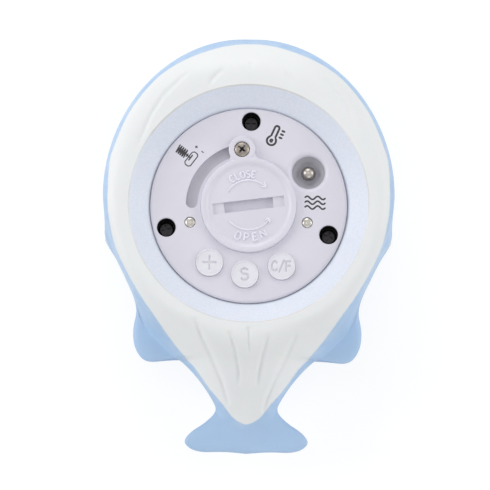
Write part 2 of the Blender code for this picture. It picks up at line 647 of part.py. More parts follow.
def build_housing():
    """The cup of the module, whose bezel comes out through the whale's back."""
    opening = LENS_RADIUS + 0.2
    ledge = LENS_RADIUS - LEDGE_WIDTH
    profile = [
        (SHELL_INNER_RADIUS, HOUSING_TOP_Z),
        (DISC_RADIUS, HOUSING_TOP_Z),
        (DISC_RADIUS, SHOULDER_Z + 1),
        (DISC_RADIUS - 0.8, SHOULDER_Z),
        (BEZEL_RADIUS, SHOULDER_Z),
        (BEZEL_RADIUS, 0.5),
        (BEZEL_RADIUS - 0.15, 0.15),
        (BEZEL_RADIUS - 0.5, 0),
        (opening + 0.1, 0),
        (opening, 0.1),
        (opening, LEDGE_Z),
        (ledge, LEDGE_Z),
        (ledge, LEDGE_Z + LEDGE_THICKNESS),
        (BEZEL_RADIUS - BEZEL_WALL, LEDGE_Z + LEDGE_THICKNESS),
        (BEZEL_RADIUS - BEZEL_WALL, SHOULDER_Z + MODULE_WALL),
        (SHELL_INNER_RADIUS, SHOULDER_Z + MODULE_WALL),
    ]
    housing = turned("module_housing", profile, SHELL, steps=48)
    pillars = []
    holes = []
    for index, angle in enumerate(SCREW_ANGLES):
        place = at_angle(SCREWS_FROM_AXIS, angle)
        foot = SHOULDER_Z + MODULE_WALL / 2
        top = HOUSING_TOP_Z - 0.01
        pillars.append(rod(f"pillar_{index}", PILLAR_RADIUS, foot, top, place=place, steps=16))
        tip = SCREW_FLOOR_Z - SCREW_LENGTH - LAP
        top = HOUSING_TOP_Z + LAP
        hole = SCREW_SHANK_RADIUS + FIT / 2
        holes.append(rod(f"pillar_hole_{index}", hole, tip, top, place=place, steps=10))
    joined(housing, pillars, "UNION")
    joined(housing, holes, "DIFFERENCE")
    low = HOUSING_TOP_Z + 0.2
    ring("housing_seal", SHELL_INNER_RADIUS + 0.2, DISC_RADIUS - 0.2, low, SKIRT_Z - 0.2, SEAL, 40)


def build_door():
    """The bayonet door and what rides on it, at rest in the closed position."""
    rim_inner = DOOR_RADIUS - DOOR_RIM_WIDTH
    seal_inner = EAR_RADIUS + 0.7
    seal_outer = seal_inner + SEAL_WIDTH
    hub = CELL_RADIUS + 0.1
    profile = [
        (0, DOOR_FACE_Z),
        (rim_inner, DOOR_FACE_Z),
        (rim_inner + 0.25, DOOR_TOP_Z - 0.15),
        (rim_inner + 0.6, DOOR_TOP_Z),
        (DOOR_RADIUS - 0.55, DOOR_TOP_Z),
        (DOOR_RADIUS - 0.18, DOOR_TOP_Z - 0.15),
        (DOOR_RADIUS, DOOR_TOP_Z - 0.5),
        (DOOR_RADIUS, DOOR_UNDER_Z),
        (seal_outer + 0.1, DOOR_UNDER_Z),
        (seal_outer + 0.1, DOOR_UNDER_Z + SEAL_THICKNESS),
        (seal_inner - 0.1, DOOR_UNDER_Z + SEAL_THICKNESS),
        (seal_inner - 0.1, DOOR_UNDER_Z),
        (NECK_RADIUS, DOOR_UNDER_Z),
        (NECK_RADIUS, NECK_Z),
        (NECK_RADIUS - NECK_WALL, NECK_Z),
        (NECK_RADIUS - NECK_WALL, DOOR_UNDER_Z - 0.4),
        (hub, DOOR_UNDER_Z - 0.4),
        (hub, NECK_Z),
        (0, NECK_Z),
    ]
    door = turned("battery_door", profile, DOOR, steps=48)
    place = at_angle(LUG_FROM_AXIS, LUG_ANGLE)
    lug_profile = [
        (0, DOOR_TOP_Z),
        (LUG_RADIUS - 0.5, DOOR_TOP_Z),
        (LUG_RADIUS - 0.15, DOOR_TOP_Z - 0.15),
        (LUG_RADIUS, DOOR_TOP_Z - 0.5),
        (LUG_RADIUS, LUG_Z),
        (LUG_BOSS_RADIUS, LUG_Z),
        (LUG_BOSS_RADIUS, LUG_BOSS_Z),
        (0, LUG_BOSS_Z),
    ]
    added = [turned("lug", lug_profile, place=place, steps=28)]
    for index in range(2):
        middle = EAR_ANGLE + 180 * index
        half = EAR_SPAN_ANGLE / 2
        outline = sector(NECK_RADIUS - 0.6, EAR_RADIUS, middle - half, middle + half, 8)
        added.append(prism(f"ear_{index}", outline, NECK_Z + 0.01, EAR_TOP_Z))
    head_room = [
        (0, DOOR_TOP_Z + 1),
        (DOOR_SCREW_HEAD_RADIUS + 0.2, DOOR_TOP_Z + 1),
        (DOOR_SCREW_HEAD_RADIUS + 0.2, DOOR_TOP_Z - 0.9),
        (DOOR_SCREW_SHANK_RADIUS + 0.2, DOOR_TOP_Z - 0.9),
        (DOOR_SCREW_SHANK_RADIUS + 0.2, LUG_BOSS_Z - 1),
        (0, LUG_BOSS_Z - 1),
    ]
    cut = [turned("lug_hole", head_room, place=place, steps=20)]
    middle = Matrix.Translation((0.0, MODULE_Y * MM, 0.0))
    frame = middle @ Matrix.Rotation(math.radians(CLOSED_ANGLE), 4, "Z")
    top = DOOR_TOP_Z + 1
    deep = rectangle(COIN_SLOT_DEEP_LENGTH, COIN_SLOT_WIDTH)
    cut.append(prism("coin_slot_deep", deep, DOOR_FACE_Z - COIN_SLOT_DEPTH, top, frame=frame))
    step = rectangle(COIN_SLOT_LENGTH, COIN_SLOT_WIDTH - 0.02)
    cut.append(prism("coin_slot_step", step, DOOR_FACE_Z - COIN_SLOT_DEPTH / 2, top, frame=frame))
    joined(door, added, "UNION")
    joined(door, cut, "DIFFERENCE")
    top = DOOR_UNDER_Z + SEAL_THICKNESS - GAP
    seal = ring("door_seal", seal_inner, seal_outer, DOOR_UNDER_Z - FIT / 2, top, SEAL, 36)
    low = CONTACT_TOP_Z - CONTACT_THICKNESS
    contact = rod("door_contact", CELL_RADIUS - 0.5, low, CONTACT_TOP_Z, STEEL, steps=32)
    head = DOOR_SCREW_HEAD_RADIUS
    shank = DOOR_SCREW_SHANK_RADIUS
    screw_profile = [
        (0, DOOR_TOP_Z + 0.15),
        (head * 0.6, DOOR_TOP_Z + 0.1),
        (head * 0.9, DOOR_TOP_Z - 0.1),
        (head, DOOR_TOP_Z - 0.35),
        (head, DOOR_TOP_Z - 0.8),
        (shank, DOOR_TOP_Z - 0.8),
        (shank, LUG_BOSS_Z + 0.1),
        (0, LUG_BOSS_Z + 0.1),
    ]
    screw = turned("door_screw", screw_profile, STEEL, place, steps=24)
    cross_cut(screw, place, DOOR_TOP_Z + 0.15, head * 1.25, 0.5, 0.55, CLOSED_ANGLE + 45)
    for piece in (seal, contact, screw):
        parent(piece, door)


def cross_cut(screw, place, top, length, width, depth, angle):
    """The cross recess of a screw head."""
    spot = Matrix.Translation((place[0] * MM, place[1] * MM, 0.0))
    cuts = []
    for index in range(2):
        frame = spot @ Matrix.Rotation(math.radians(angle + 90 * index), 4, "Z")
        size = width - 0.01 * index
        outline = rectangle(length, size)
        cuts.append(prism(f"{screw.name}_cross_{index}", outline, top - depth, top + 1, frame=frame))
    joined(screw, cuts, "DIFFERENCE")


def build_screws():
    """The three black screws at the bottom of their wells."""
    for name, angle in zip(("cover_screw_top", "cover_screw_left", "cover_screw_right"), SCREW_ANGLES):
        place = at_angle(SCREWS_FROM_AXIS, angle)
        under = SCREW_FLOOR_Z + GAP
        top = under + SCREW_HEAD_HEIGHT
        profile = [
            (0, top),
            (SCREW_HEAD_RADIUS * 0.75, top - 0.1),
            (SCREW_HEAD_RADIUS, top - 0.6),
            (SCREW_HEAD_RADIUS, under),
            (SCREW_SHANK_RADIUS, under),
            (SCREW_SHANK_RADIUS, under - SCREW_LENGTH + 1),
            (0, under - SCREW_LENGTH),
        ]
        screw = turned(name, profile, BLACK_STEEL, place, steps=16)
        cross_cut(screw, place, top, SCREW_HEAD_RADIUS * 1.2, 0.6, 0.9, angle)


def build_keys():
    """The three silicone keys, with their switches below."""
    names = ("plus", "set", "unit")
    for name, angle in zip(names, KEY_ANGLES):
        place = at_angle(KEYS_FROM_AXIS, angle)
        flange = KEY_RADIUS + KEY_FLANGE
        flange_z = KEY_FLANGE_TOP_Z - KEY_FLANGE_THICKNESS
        profile = [
            (0, KEY_TOP_Z - KEY_RIM),
            (KEY_RADIUS - 1.15, KEY_TOP_Z - KEY_RIM),
            (KEY_RADIUS - 0.8, KEY_TOP_Z - KEY_RIM * 0.2),
            (KEY_RADIUS - 0.5, KEY_TOP_Z),
            (KEY_RADIUS - 0.18, KEY_TOP_Z - KEY_RIM * 0.6),
            (KEY_RADIUS, KEY_TOP_Z - KEY_RIM * 2),
            (KEY_RADIUS, KEY_FLANGE_TOP_Z),
            (flange, KEY_FLANGE_TOP_Z),
            (flange, flange_z),
            (KEY_STEM_RADIUS, flange_z),
            (KEY_STEM_RADIUS, KEY_STEM_Z),
            (0, KEY_STEM_Z),
        ]
        turned("key_" + name, profile, KEYS, place, steps=24)
        spot = Matrix.Translation((place[0] * MM, place[1] * MM, 0.0))
        frame = spot @ Matrix.Rotation(math.radians(angle), 4, "Z")
        low = KEY_BOARD_TOP_Z + GAP
        square = rectangle(SWITCH_SIDE, SWITCH_SIDE)
        switch = prism("key_switch_" + name, square, low, low + SWITCH_HEIGHT, SWITCH, frame)
        low += SWITCH_HEIGHT / 2
        plunger = rod("plunger_" + name, PLUNGER_RADIUS, low, PLUNGER_TOP_Z, place=place, steps=16)
        joined(switch, [plunger], "UNION")


def build_sensors():
    """The steel probe cap in its cup and the two water contacts."""
    cap = PROBE_RADIUS
    profile = [
        (0, PROBE_FLOOR_Z + 2.2),
        (cap * 0.5, PROBE_FLOOR_Z + 2.05),
        (cap * 0.85, PROBE_FLOOR_Z + 1.6),
        (cap, PROBE_FLOOR_Z + 1.0),
        (cap, PROBE_FLOOR_Z + 0.1),
        (cap - 0.3, PROBE_FLOOR_Z + 0.1),
        (cap - 0.3, PROBE_FLOOR_Z - 2.2),
        (0, PROBE_FLOOR_Z - 2.2),
    ]
    turned("temperature_probe", profile, STEEL, at_angle(PROBE_FROM_AXIS, PROBE_ANGLE), steps=28)
    pin = CONTACT_RADIUS
    profile = [
        (0, FACE_Z + 0.15),
        (pin * 0.6, FACE_Z + 0.1),
        (pin * 0.9, FACE_Z - 0.05),
        (pin, FACE_Z - 0.3),
        (pin, FACE_Z - 0.75),
        (pin - 0.5, FACE_Z - 0.75),
        (pin - 0.5, DISC_UNDER_Z - 2),
        (0, DISC_UNDER_Z - 2),
    ]
    for name, angle in zip(("water_contact_left", "water_contact_right"), CONTACT_ANGLES):
        turned(name, profile, STEEL, at_angle(CONTACTS_FROM_AXIS, angle), steps=20)


def build_cells():
    """The two stacked button cells and the spring under them."""
    for name, bottom in (("battery_cell_upper", UPPER_CELL_Z), ("battery_cell_lower", LOWER_CELL_Z)):
        top = bottom + CELL_HEIGHT
        profile = [
            (0, top),
            (CELL_RADIUS - 0.3, top),
            (CELL_RADIUS, top - 0.3),
            (CELL_RADIUS, bottom + 1.0),
            (CELL_RADIUS - 0.5, bottom + 0.5),
            (CELL_RADIUS - 0.9, bottom),
            (0, bottom),
        ]
        turned(name, profile, CELL, steps=28)
    low = TUB_FLOOR_Z + GAP + SPRING_WIRE / 2
    high = LOWER_CELL_Z - GAP - SPRING_WIRE / 2
    turns = 2.5
    count = 31
    line = bpy.data.curves.new("battery_spring", "CURVE")
    line.dimensions = "3D"
    line.bevel_depth = SPRING_WIRE / 2 * MM
    line.bevel_resolution = 1
    line.use_fill_caps = True
    path = line.splines.new("POLY")
    path.points.add(count - 1)
    for index, point in enumerate(path.points):
        share = index / (count - 1)
        turn = share * turns * 2 * math.pi
        radius = (CELL_RADIUS - 1.2) * (1 - 0.55 * share)
        x, y = radius * math.cos(turn), MODULE_Y + radius * math.sin(turn)
        point.co = (x * MM, y * MM, (low + (high - low) * share) * MM, 1.0)
    drawn = bpy.data.objects.new("spring_path", line)
    CUTTERS.objects.link(drawn)
    graph = bpy.context.evaluated_depsgraph_get()
    mesh = bpy.data.meshes.new_from_object(drawn.evaluated_get(graph))
    bpy.data.objects.remove(drawn, do_unlink=True)
    mesh.materials.clear()
    spring = node("battery_spring", mesh, STEEL)
    weld = spring.modifiers.new("join_caps", "WELD")
    weld.merge_threshold = 0.000002


def build_display():
    """Lens, display glass, its two connector strips and its board."""
    low = LENS_SUNK
    profile = [
        (0, LENS_TOP_Z),
        (LENS_RADIUS, LENS_TOP_Z),
        (LENS_RADIUS, low + 0.2),
        (LENS_RADIUS - 0.2, low),
        (0, low),
    ]
    turned("display_lens", profile, LENS, steps=48)
    centre = (0.0, MODULE_Y)
    prism("lcd_panel", rectangle(GLASS_LENGTH, GLASS_WIDTH, centre), GLASS_Z, GLASS_Z + GLASS_THICKNESS, GLASS)
    for name, side in (("connector_strip_head", 1), ("connector_strip_tail", -1)):
        spot = (0.0, MODULE_Y + side * (GLASS_WIDTH / 2 - STRIP_WIDTH))
        outline = rectangle(GLASS_LENGTH - 3, STRIP_WIDTH, spot)
        prism(name, outline, STRIP_Z, STRIP_Z + STRIP_HEIGHT, STRIP)
    board = BEZEL_RADIUS - BEZEL_WALL - FIT
    rod("display_board", board, DISPLAY_BOARD_Z, DISPLAY_BOARD_Z + BOARD_THICKNESS, BOARD, steps=36)
    half = KEY_BOARD_ANGLE / 2
    outline = sector(KEY_BOARD_INNER, KEY_BOARD_OUTER, KEY_ANGLES[1] - half, KEY_ANGLES[1] + half, 20)
    prism("key_board", outline, KEY_BOARD_Z, KEY_BOARD_TOP_Z, BOARD)
    build_ribbon()


def build_ribbon():
    """The flat cable from the key board down to the display board."""
    top = KEY_BOARD_Z - GAP
    low = DISPLAY_BOARD_Z + BOARD_THICKNESS + GAP
    near = KEY_BOARD_INNER + RIBBON_LAP
    far = BEZEL_RADIUS - BEZEL_WALL - RIBBON_BEND * 1.5
    thin = RIBBON_THICKNESS
    bend = RIBBON_BEND
    tight = bend + thin / 2
    outside = [(near, top), (far - bend, top), (far, top - bend)]
    outside += [(far, low + bend), (far - bend, low), (near, low)]
    inside = [(near, low + thin), (far - tight, low + thin), (far - thin, low + tight)]
    inside += [(far - thin, top - tight), (far - tight, top - thin), (near, top - thin)]
    upright = Matrix.Rotation(math.radians(90), 4, "X")
    around = Matrix.Rotation(math.radians(KEY_ANGLES[1]), 4, "Z")
    frame = Matrix.Translation((0.0, MODULE_Y * MM, 0.0)) @ around @ upright
    half = RIBBON_WIDTH / 2
    prism("board_ribbon", outside + inside, -half, half, RIBBON, frame)


def main():
    build_body()
    build_base()
    build_housing()
    build_door()
    build_screws()
    build_keys()
    build_sensors()
    build_cells()
    build_display()


main()
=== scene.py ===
"""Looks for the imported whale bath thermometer: painted skin, module, keys, metal, marks and a plain studio.

Shapes are in millimetres, and MM turns them into metres. Materials and lamps are in metres.
"""

import math

import bpy
import numpy as np
from bpy.props import FloatProperty, FloatVectorProperty, PointerProperty
from mathutils import Matrix, Vector


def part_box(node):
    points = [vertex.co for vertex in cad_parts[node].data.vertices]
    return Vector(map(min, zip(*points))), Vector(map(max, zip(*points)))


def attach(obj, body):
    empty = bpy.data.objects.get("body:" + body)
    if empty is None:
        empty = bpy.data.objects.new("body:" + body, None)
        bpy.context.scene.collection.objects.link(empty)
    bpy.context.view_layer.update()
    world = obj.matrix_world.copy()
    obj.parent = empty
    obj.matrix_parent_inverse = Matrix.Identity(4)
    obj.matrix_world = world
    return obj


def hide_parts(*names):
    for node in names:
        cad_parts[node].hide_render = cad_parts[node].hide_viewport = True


bl_info = {
    "name": "Whale bath thermometer",
    "version": (1, 0, 0),
    "blender": (4, 5, 0),
    "location": "3D View > Sidebar > Bath whale",
    "description": "Builds the painted skin, module, keys, marks and studio of a whale bath thermometer",
    "category": "Object",
}

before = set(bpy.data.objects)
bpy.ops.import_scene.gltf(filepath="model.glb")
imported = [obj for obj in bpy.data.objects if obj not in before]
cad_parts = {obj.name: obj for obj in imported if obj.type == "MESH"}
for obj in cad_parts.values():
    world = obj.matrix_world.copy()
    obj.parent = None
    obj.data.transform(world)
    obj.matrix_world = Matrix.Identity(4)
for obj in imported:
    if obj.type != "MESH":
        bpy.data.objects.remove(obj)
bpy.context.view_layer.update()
MM = 0.001


def cad(node):
    """The low and the high corner of a CAD node, in millimetres."""
    low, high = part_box(node)
    return np.array(low) / MM, np.array(high) / MM


def middle_of(node):
    """The middle of a CAD node seen from above, in millimetres."""
    low, high = cad(node)
    return (low[:2] + high[:2]) / 2


# The module's face, the same on all its pieces
BASE_LOW, BASE_HIGH = cad("module_base")
AXIS_Y = float(BASE_LOW[1] + BASE_HIGH[1]) / 2
AXIS = np.array([0, AXIS_Y])
DISC_RADIUS = float(BASE_HIGH[0] - BASE_LOW[0]) / 2
FACE_Z = float(BASE_HIGH[2])
COVER_SCREWS = ("cover_screw_top", "cover_screw_left", "cover_screw_right")
WATER_CONTACTS = ("water_contact_left", "water_contact_right")

# The battery door, its lug, and the two steps of its coin slot: length, width and depth
DOOR_LOW, DOOR_HIGH = cad("battery_door")
DOOR_RADIUS = float(DOOR_HIGH[0] - DOOR_LOW[0]) / 2
DOOR_TOP_Z = float(DOOR_HIGH[2])
DOOR_FACE_Z = DOOR_TOP_Z - 0.6
DOOR_NECK_RADIUS = 9.5
DOOR_RIM_WIDTH = 2.2
DOOR_TURN = 80
CLOSED_ANGLE = 7.3
LUG_ANGLE = CLOSED_ANGLE + 90
LUG_FROM_AXIS = 15.7
LUG_RADIUS = 3.7
LUG_THICKNESS = 1.2
LUG_PIN_RADIUS = 1.35
COIN_SLOT = ((13.6, 3.05, 1.9), (19.9, 3.04, 0.55))

# Holes in the module's face
SLOT_INNER, SLOT_OUTER, SLOT_DEPTH = 14.2, 17.4, 1.5
WELL_RADIUS, WELL_WALL, WELL_DEPTH = 2.6, 0.8, 6.1
CUP_RADIUS, CUP_LIP, CUP_LIP_DROP, CUP_DEPTH = 4.55, 1.35, 1.25, 3.3
KEY_HOLE_RADIUS, KEY_HOLE_DEPTH = 3.86, 4.0
CONTACT_HOLE_RADIUS, CONTACT_HOLE_DEPTH = 1.52, 0.85
ABOVE_FACE = 3.0

# The module's plate: radius, depth below its face and rounding of each corner
PLATE_PROFILE = (
    (0, 13, 0), (6.2, 13, 0), (6.2, 5.9, 0), (11.5, 5.9, 0), (11.5, 3.6, 0), (9.9, 3.6, 0), (9.9, 2.4, 0.2),
    (DOOR_RADIUS + 0.035, 2.4, 0.2), (DOOR_RADIUS + 0.035, 0, 0.03), (DISC_RADIUS, 0, 0.85),
    (DISC_RADIUS, 7.5, 0), (25.7, 7.5, 0), (25.7, 2.4, 0), (14.9, 2.4, 0), (14.9, 14, 0), (0, 14, 0),
)

# Keys: node, legend, height, width and gap of its letters
KEY_LEGENDS = (
    ("key_plus", "+", 3.5, 3.5, 0), ("key_set", "S", 3.2, 2.3, 0), ("key_unit", "C/F", 2.7, 1.6, 0.3),
)
KEY_TOP_RADIUS, KEY_RIM_RADIUS, KEY_RADIUS, KEY_FLANGE = 3.42, 3.6, 3.8, 4.3
KEY_RIM_RISE = 0.15
LEGEND_STROKE, LEGEND_EDGE = 0.29, 0.045

# Metal parts
HEAD_RADIUS, HEAD_ARC, HEAD_RISE = 2.0, 62, 0.9434
CROSS_LENGTH, CROSS_WIDTH, CROSS_DEPTH = 2.6, 0.6, 0.95
PROBE_RADIUS, PROBE_DOME = 1.97, 1.9
CONTACT_RADIUS, CONTACT_DOME = 1.42, 0.75

# The seat in the belly, the level belly round it, and the hole for the display
SEAT_RADIUS = 33.2
SEAT_RIM_Z = 36.8
SEAT_DROP = 4.4
SEAT_GAP = 0.13
LEVEL_RADIUS = 35.0
LEVEL_FADE = 9.0
LEVEL_Z = SEAT_RIM_Z + 0.35
DISPLAY_HOLE_RADIUS, DISPLAY_HOLE_TOP = 23.5, 8.5

# The whale's head, its eyes, and how closely its skin is divided
WIDEST_Y = 12.9
HEAD_LENGTH = 44.6
HALF_WIDTH = 40.5
MIDDLE_Z = 22.0
BELLY_HEIGHT = 16.2
BACK_DEPTH = 21.0
BELLY_FULLNESS = 4.6
HEAD_FULLNESS = 3.4
BACK_FULLNESS = 2.4
TAIL_TIP = (0, -57.5, 15.0)
EYE_Y, EYE_Z = 1.5, 15.8
SWELL_Z, SWELL_WIDTH, SWELL = 16.5, 3.2, 1.7
BELLY_POINTS = 340
BACK_POINTS = 110
HEAD_ROWS = 52
RIB_ROWS, FIN_ROWS, FIN_RIBS = 5, 9, slice(8, 18)
CREASES_ABOVE_Z = 17.5
SOFT_FROM_Y, SOFT_TO_Y, SOFT_FADE, SOFT_ROWS = -21, -49, 4, 9

# Ribs of the whale: centre y, edge y, edge x, trunk x, middle, top, bottom, fullness, flare, half edge
RIBS = np.array((
    (12.9, 12.9, 40.5, 40.5, 22.0, 38.2, 1.0, 4.6, 0.0, 0.0),
    (8.0, 8.0, 40.05, 40.05, 21.9, 38.2, 1.0, 4.6, 0.0, 0.3),
    (4.5, 4.5, 39.3, 39.3, 21.8, 38.2, 1.0, 4.6, 0.0, 0.5),
    (1.5, 1.5, 38.4, 38.4, 21.7, 38.2, 1.1, 4.6, 0.0, 0.8),
    (-1.5, -1.5, 37.3, 37.3, 21.5, 38.2, 1.2, 4.5, 0.0, 1.0),
    (-5.5, -5.5, 35.8, 35.8, 21.2, 38.2, 1.4, 4.4, 0.0, 1.4),
    (-9.3, -9.4, 34.0, 34.0, 20.8, 38.1, 1.8, 4.3, 0.0, 1.9),
    (-12.8, -13.5, 32.1, 32.1, 20.4, 38.0, 2.3, 4.0, 0.02, 2.3),
    (-16.8, -18.2, 30.9, 30.5, 20.0, 37.8, 3.1, 3.8, 0.1, 2.6),
    (-21.0, -23.7, 31.7, 28.6, 19.6, 37.4, 4.3, 3.3, 0.35, 2.8),
    (-25.0, -28.3, 31.2, 25.6, 19.2, 36.5, 5.6, 2.8, 0.65, 2.8),
    (-28.2, -31.7, 29.0, 22.8, 18.8, 35.1, 6.8, 2.5, 0.8, 2.7),
    (-30.6, -32.4, 25.6, 20.4, 18.5, 33.7, 7.8, 2.3, 0.75, 2.6),
    (-32.6, -30.9, 21.4, 18.0, 18.2, 32.2, 8.6, 2.2, 0.6, 2.5),
    (-34.4, -32.2, 18.3, 16.2, 17.9, 30.7, 9.4, 2.1, 0.5, 2.5),
    (-38.2, -36.7, 13.8, 12.8, 17.2, 27.2, 10.9, 2.0, 0.25, 2.5),
    (-42.4, -42.0, 10.0, 9.6, 16.4, 23.4, 12.2, 2.0, 0.1, 2.5),
    (-46.0, -45.5, 8.65, 8.0, 15.8, 20.6, 12.6, 2.0, 0.2, 2.6),
    (-49.0, -48.6, 11.2, 8.0, 15.4, 19.2, 12.6, 1.9, 0.6, 2.5),
    (-51.5, -51.6, 15.4, 8.0, 15.2, 18.3, 12.7, 1.8, 0.9, 2.2),
    (-53.7, -54.2, 17.1, 8.0, 15.0, 17.6, 12.8, 1.8, 1.0, 1.9),
    (-55.4, -56.3, 15.2, 7.0, 15.0, 17.0, 13.1, 1.8, 1.0, 1.6),
    (-56.5, -57.1, 11.4, 6.0, 15.0, 16.5, 13.6, 1.8, 1.0, 1.2),
    (-57.2, -56.7, 6.0, 4.0, 15.0, 15.9, 14.1, 1.8, 1.0, 0.7),
))

# Edge of the white belly paint: y along the whale and half width there
PAINT = (
    (55.1, 0.0), (54.8, 4.3), (53.5, 9.8), (50.2, 18.0), (45.7, 25.0), (39.5, 30.5), (33.4, 34.3),
    (25.4, 37.5), (20.9, 38.7), (10.8, 39.1), (5.2, 38.6), (-1.5, 37.1), (-8.1, 34.3), (-15.8, 29.9),
    (-21.6, 25.7), (-26.9, 21.5),
    (-30.8, 18.0), (-34.2, 14.5), (-40.1, 10.2), (-44.5, 6.5), (-47.8, 3.9), (-49.3, 1.7), (-49.8, 0.0),
)

# Creases pressed into the belly, from the seat towards the tail and at the head
PLEATS = (
    (1.0, ((-14.9, -22.6), (-12.7, -27.0), (-9.4, -33.1), (-6.8, -38.6), (-4.8, -44.6))),
    (1.0, ((-5.2, -26.3), (-3.3, -31.0), (-2.2, -36.6), (-2.4, -40.0))),
    (0.8, ((0.3, -25.0), (0.5, -32.0))),
    (1.0, ((6.1, -26.6), (4.2, -32.0), (3.1, -37.0), (2.8, -40.0))),
    (1.0, ((13.6, -26.6), (10.6, -32.2), (7.5, -38.2), (5.3, -43.2), (4.5, -46.6))),
    (0.6, ((-16.6, 46.6), (-20.1, 43.4), (-24.0, 39.4), (-26.9, 34.8), (-29.2, 29.6), (-30.9, 25.0))),
    (0.7, ((-7.4, 47.0), (-9.6, 45.1), (-11.5, 42.9))),
    (0.4, ((0.2, 49.2), (0.3, 47.6))),
    (0.4, ((9.8, 46.0), (12.3, 43.4))),
    (0.5, ((18.6, 46.0), (22.6, 43.0), (26.0, 38.6), (28.9, 33.2))),
)

# Strengths of the floor and the world as light, and as the camera sees them
FLOOR_LIGHT, FLOOR_SEEN = 0.45, 0.75
WORLD_LIGHT, WORLD_SEEN = 0.55, 1.0
FLOOR_HALF, FLOOR_DROP = 900, 0.02

# Lamps: name, place, size, power and colour
LAMPS = (
    ("head_lamp", (-0.15, 1.0, 0.48), 0.6, 3.5, (1.0, 1.0, 1.0)),
    ("left_lamp", (-1.0, 0.15, 0.48), 0.6, 4.9, (1.0, 1.0, 1.0)),
    ("right_lamp", (1.0, 0.15, 0.48), 0.6, 3.9, (1.0, 1.0, 1.0)),
    ("tail_lamp", (0.15, -1.0, 0.48), 0.6, 2.1, (0.98, 0.99, 1.0)),
    ("top_lamp", (-0.08, 0.12, 1.2), 0.35, 0.5, (1.0, 1.0, 1.0)),
)

# Camera: lens and sensor, width of the view at the aim, aim, tilt and roll in degrees
LENS, SENSOR, VIEW_WIDTH = 640, 36, 0.1363
AIM, TILT, ROLL = (-0.0009, 0.00045, 0.020), 81, 0.6

# Each eye: a white ring, a dark disc and the glint printed beside its middle: how far aside, radius and colour
EYE_DISCS = (
    (0, 0.0033, (0.88, 0.88, 0.88)),
    (0, 0.0026, (0.015, 0.015, 0.02)),
    (0.0009, 0.0007, (0.9, 0.9, 0.9)),
)


class WhaleSizes(bpy.types.PropertyGroup):
    """Sizes of the surface detail."""

    pleat_depth: FloatProperty(
        name="Crease depth", description="Depth of the belly creases", default=0.0007, unit="LENGTH"
    )
    pleat_width: FloatProperty(
        name="Crease width", description="Width of a belly crease", default=0.0006, unit="LENGTH"
    )
    letter_height: FloatProperty(
        name="Letter rise", description="How far the door's marks stand up", default=0.0003, unit="LENGTH"
    )
    legend_depth: FloatProperty(
        name="Legend depth", description="Depth of the engraved key marks", default=0.00032, unit="LENGTH"
    )
    paint_softness: FloatProperty(
        name="Paint edge", description="Softness of the sprayed edge", default=0.00022, unit="LENGTH"
    )


class WhaleColours(bpy.types.PropertyGroup):
    """Colours of the finishes, linear."""

    vinyl: FloatVectorProperty(
        name="Vinyl", description="Light blue vinyl", size=3, subtype="COLOR", default=(0.40, 0.56, 0.775)
    )
    belly: FloatVectorProperty(
        name="Belly", description="White belly paint", size=3, subtype="COLOR", default=(0.79, 0.80, 0.80)
    )
    seat: FloatVectorProperty(
        name="Seat", description="Thin seat paint", size=3, subtype="COLOR", default=(0.72, 0.755, 0.835)
    )
    shell: FloatVectorProperty(
        name="Module", description="Module plastic", size=3, subtype="COLOR", default=(0.695, 0.675, 0.745)
    )
    key: FloatVectorProperty(
        name="Keys", description="Key silicone", size=3, subtype="COLOR", default=(0.75, 0.735, 0.785)
    )
    ink: FloatVectorProperty(
        name="Ink", description="Printed marks", size=3, subtype="COLOR", default=(0.035, 0.03, 0.035)
    )


# Shapes


def mesh_piece(name, points, faces, body, material):
    """A mesh object from points in millimetres and faces, smooth but for its sharp edges."""
    mesh = bpy.data.meshes.new(name)
    mesh.from_pydata((np.asarray(points) * MM).tolist(), [], [tuple(face) for face in faces])
    mesh.validate()
    made = bpy.data.objects.new(name, mesh)
    bpy.context.scene.collection.objects.link(made)
    if material is not None:
        mesh.materials.append(material)
    smooth(mesh)
    if body:
        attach(made, body)
    return made


def smooth(mesh, angle=38):
    """Smooth shading that stops at edges sharper than the angle."""
    mesh.shade_smooth()
    mesh.set_sharp_from_angle(angle=math.radians(angle))


def grid_faces(rows, columns, first=0):
    """Quads between the points of a grid whose columns close into rings."""
    row, column = np.meshgrid(np.arange(rows - 1), np.arange(columns), indexing="ij")
    after = (column + 1) % columns
    a = first + row * columns + column
    b = first + (row + 1) * columns + column
    c = first + (row + 1) * columns + after
    d = first + row * columns + after
    return np.stack([a, b, c, d], -1).reshape(-1, 4).tolist()


def closed_rings(rings, start, end):
    """Points and faces of a skin over rings, closed by a pole at the start and at the end."""
    rows, columns = rings.shape[:2]
    points = np.vstack([[start], rings.reshape(-1, 3), [end]])
    index = np.arange(columns)
    after = (index + 1) % columns
    head = np.stack([np.zeros(columns, int), 1 + index, 1 + after], -1).tolist()
    last = 1 + (rows - 1) * columns
    tail = np.stack([last + index, np.full(columns, len(points) - 1), last + after], -1).tolist()
    return points, head + grid_faces(rows, columns, 1) + tail


def turned(profile, steps, centre):
    """A profile of (radius, height) turned round an upright axis: each point goes round the full circle.

    The profile starts and ends on the axis and runs down its outer side.
    """
    profile = np.asarray(profile, float)
    angles = np.arange(steps) / steps * 2 * math.pi
    inner = profile[1:-1]
    x = centre[0] + inner[:, :1] * np.cos(angles)
    y = centre[1] + inner[:, :1] * np.sin(angles)
    z = np.repeat(inner[:, 1:], steps, axis=1)
    rings = np.stack([x, y, z], -1)
    start = (centre[0], centre[1], profile[0][1])
    end = (centre[0], centre[1], profile[-1][1])
    return closed_rings(rings, start, end)


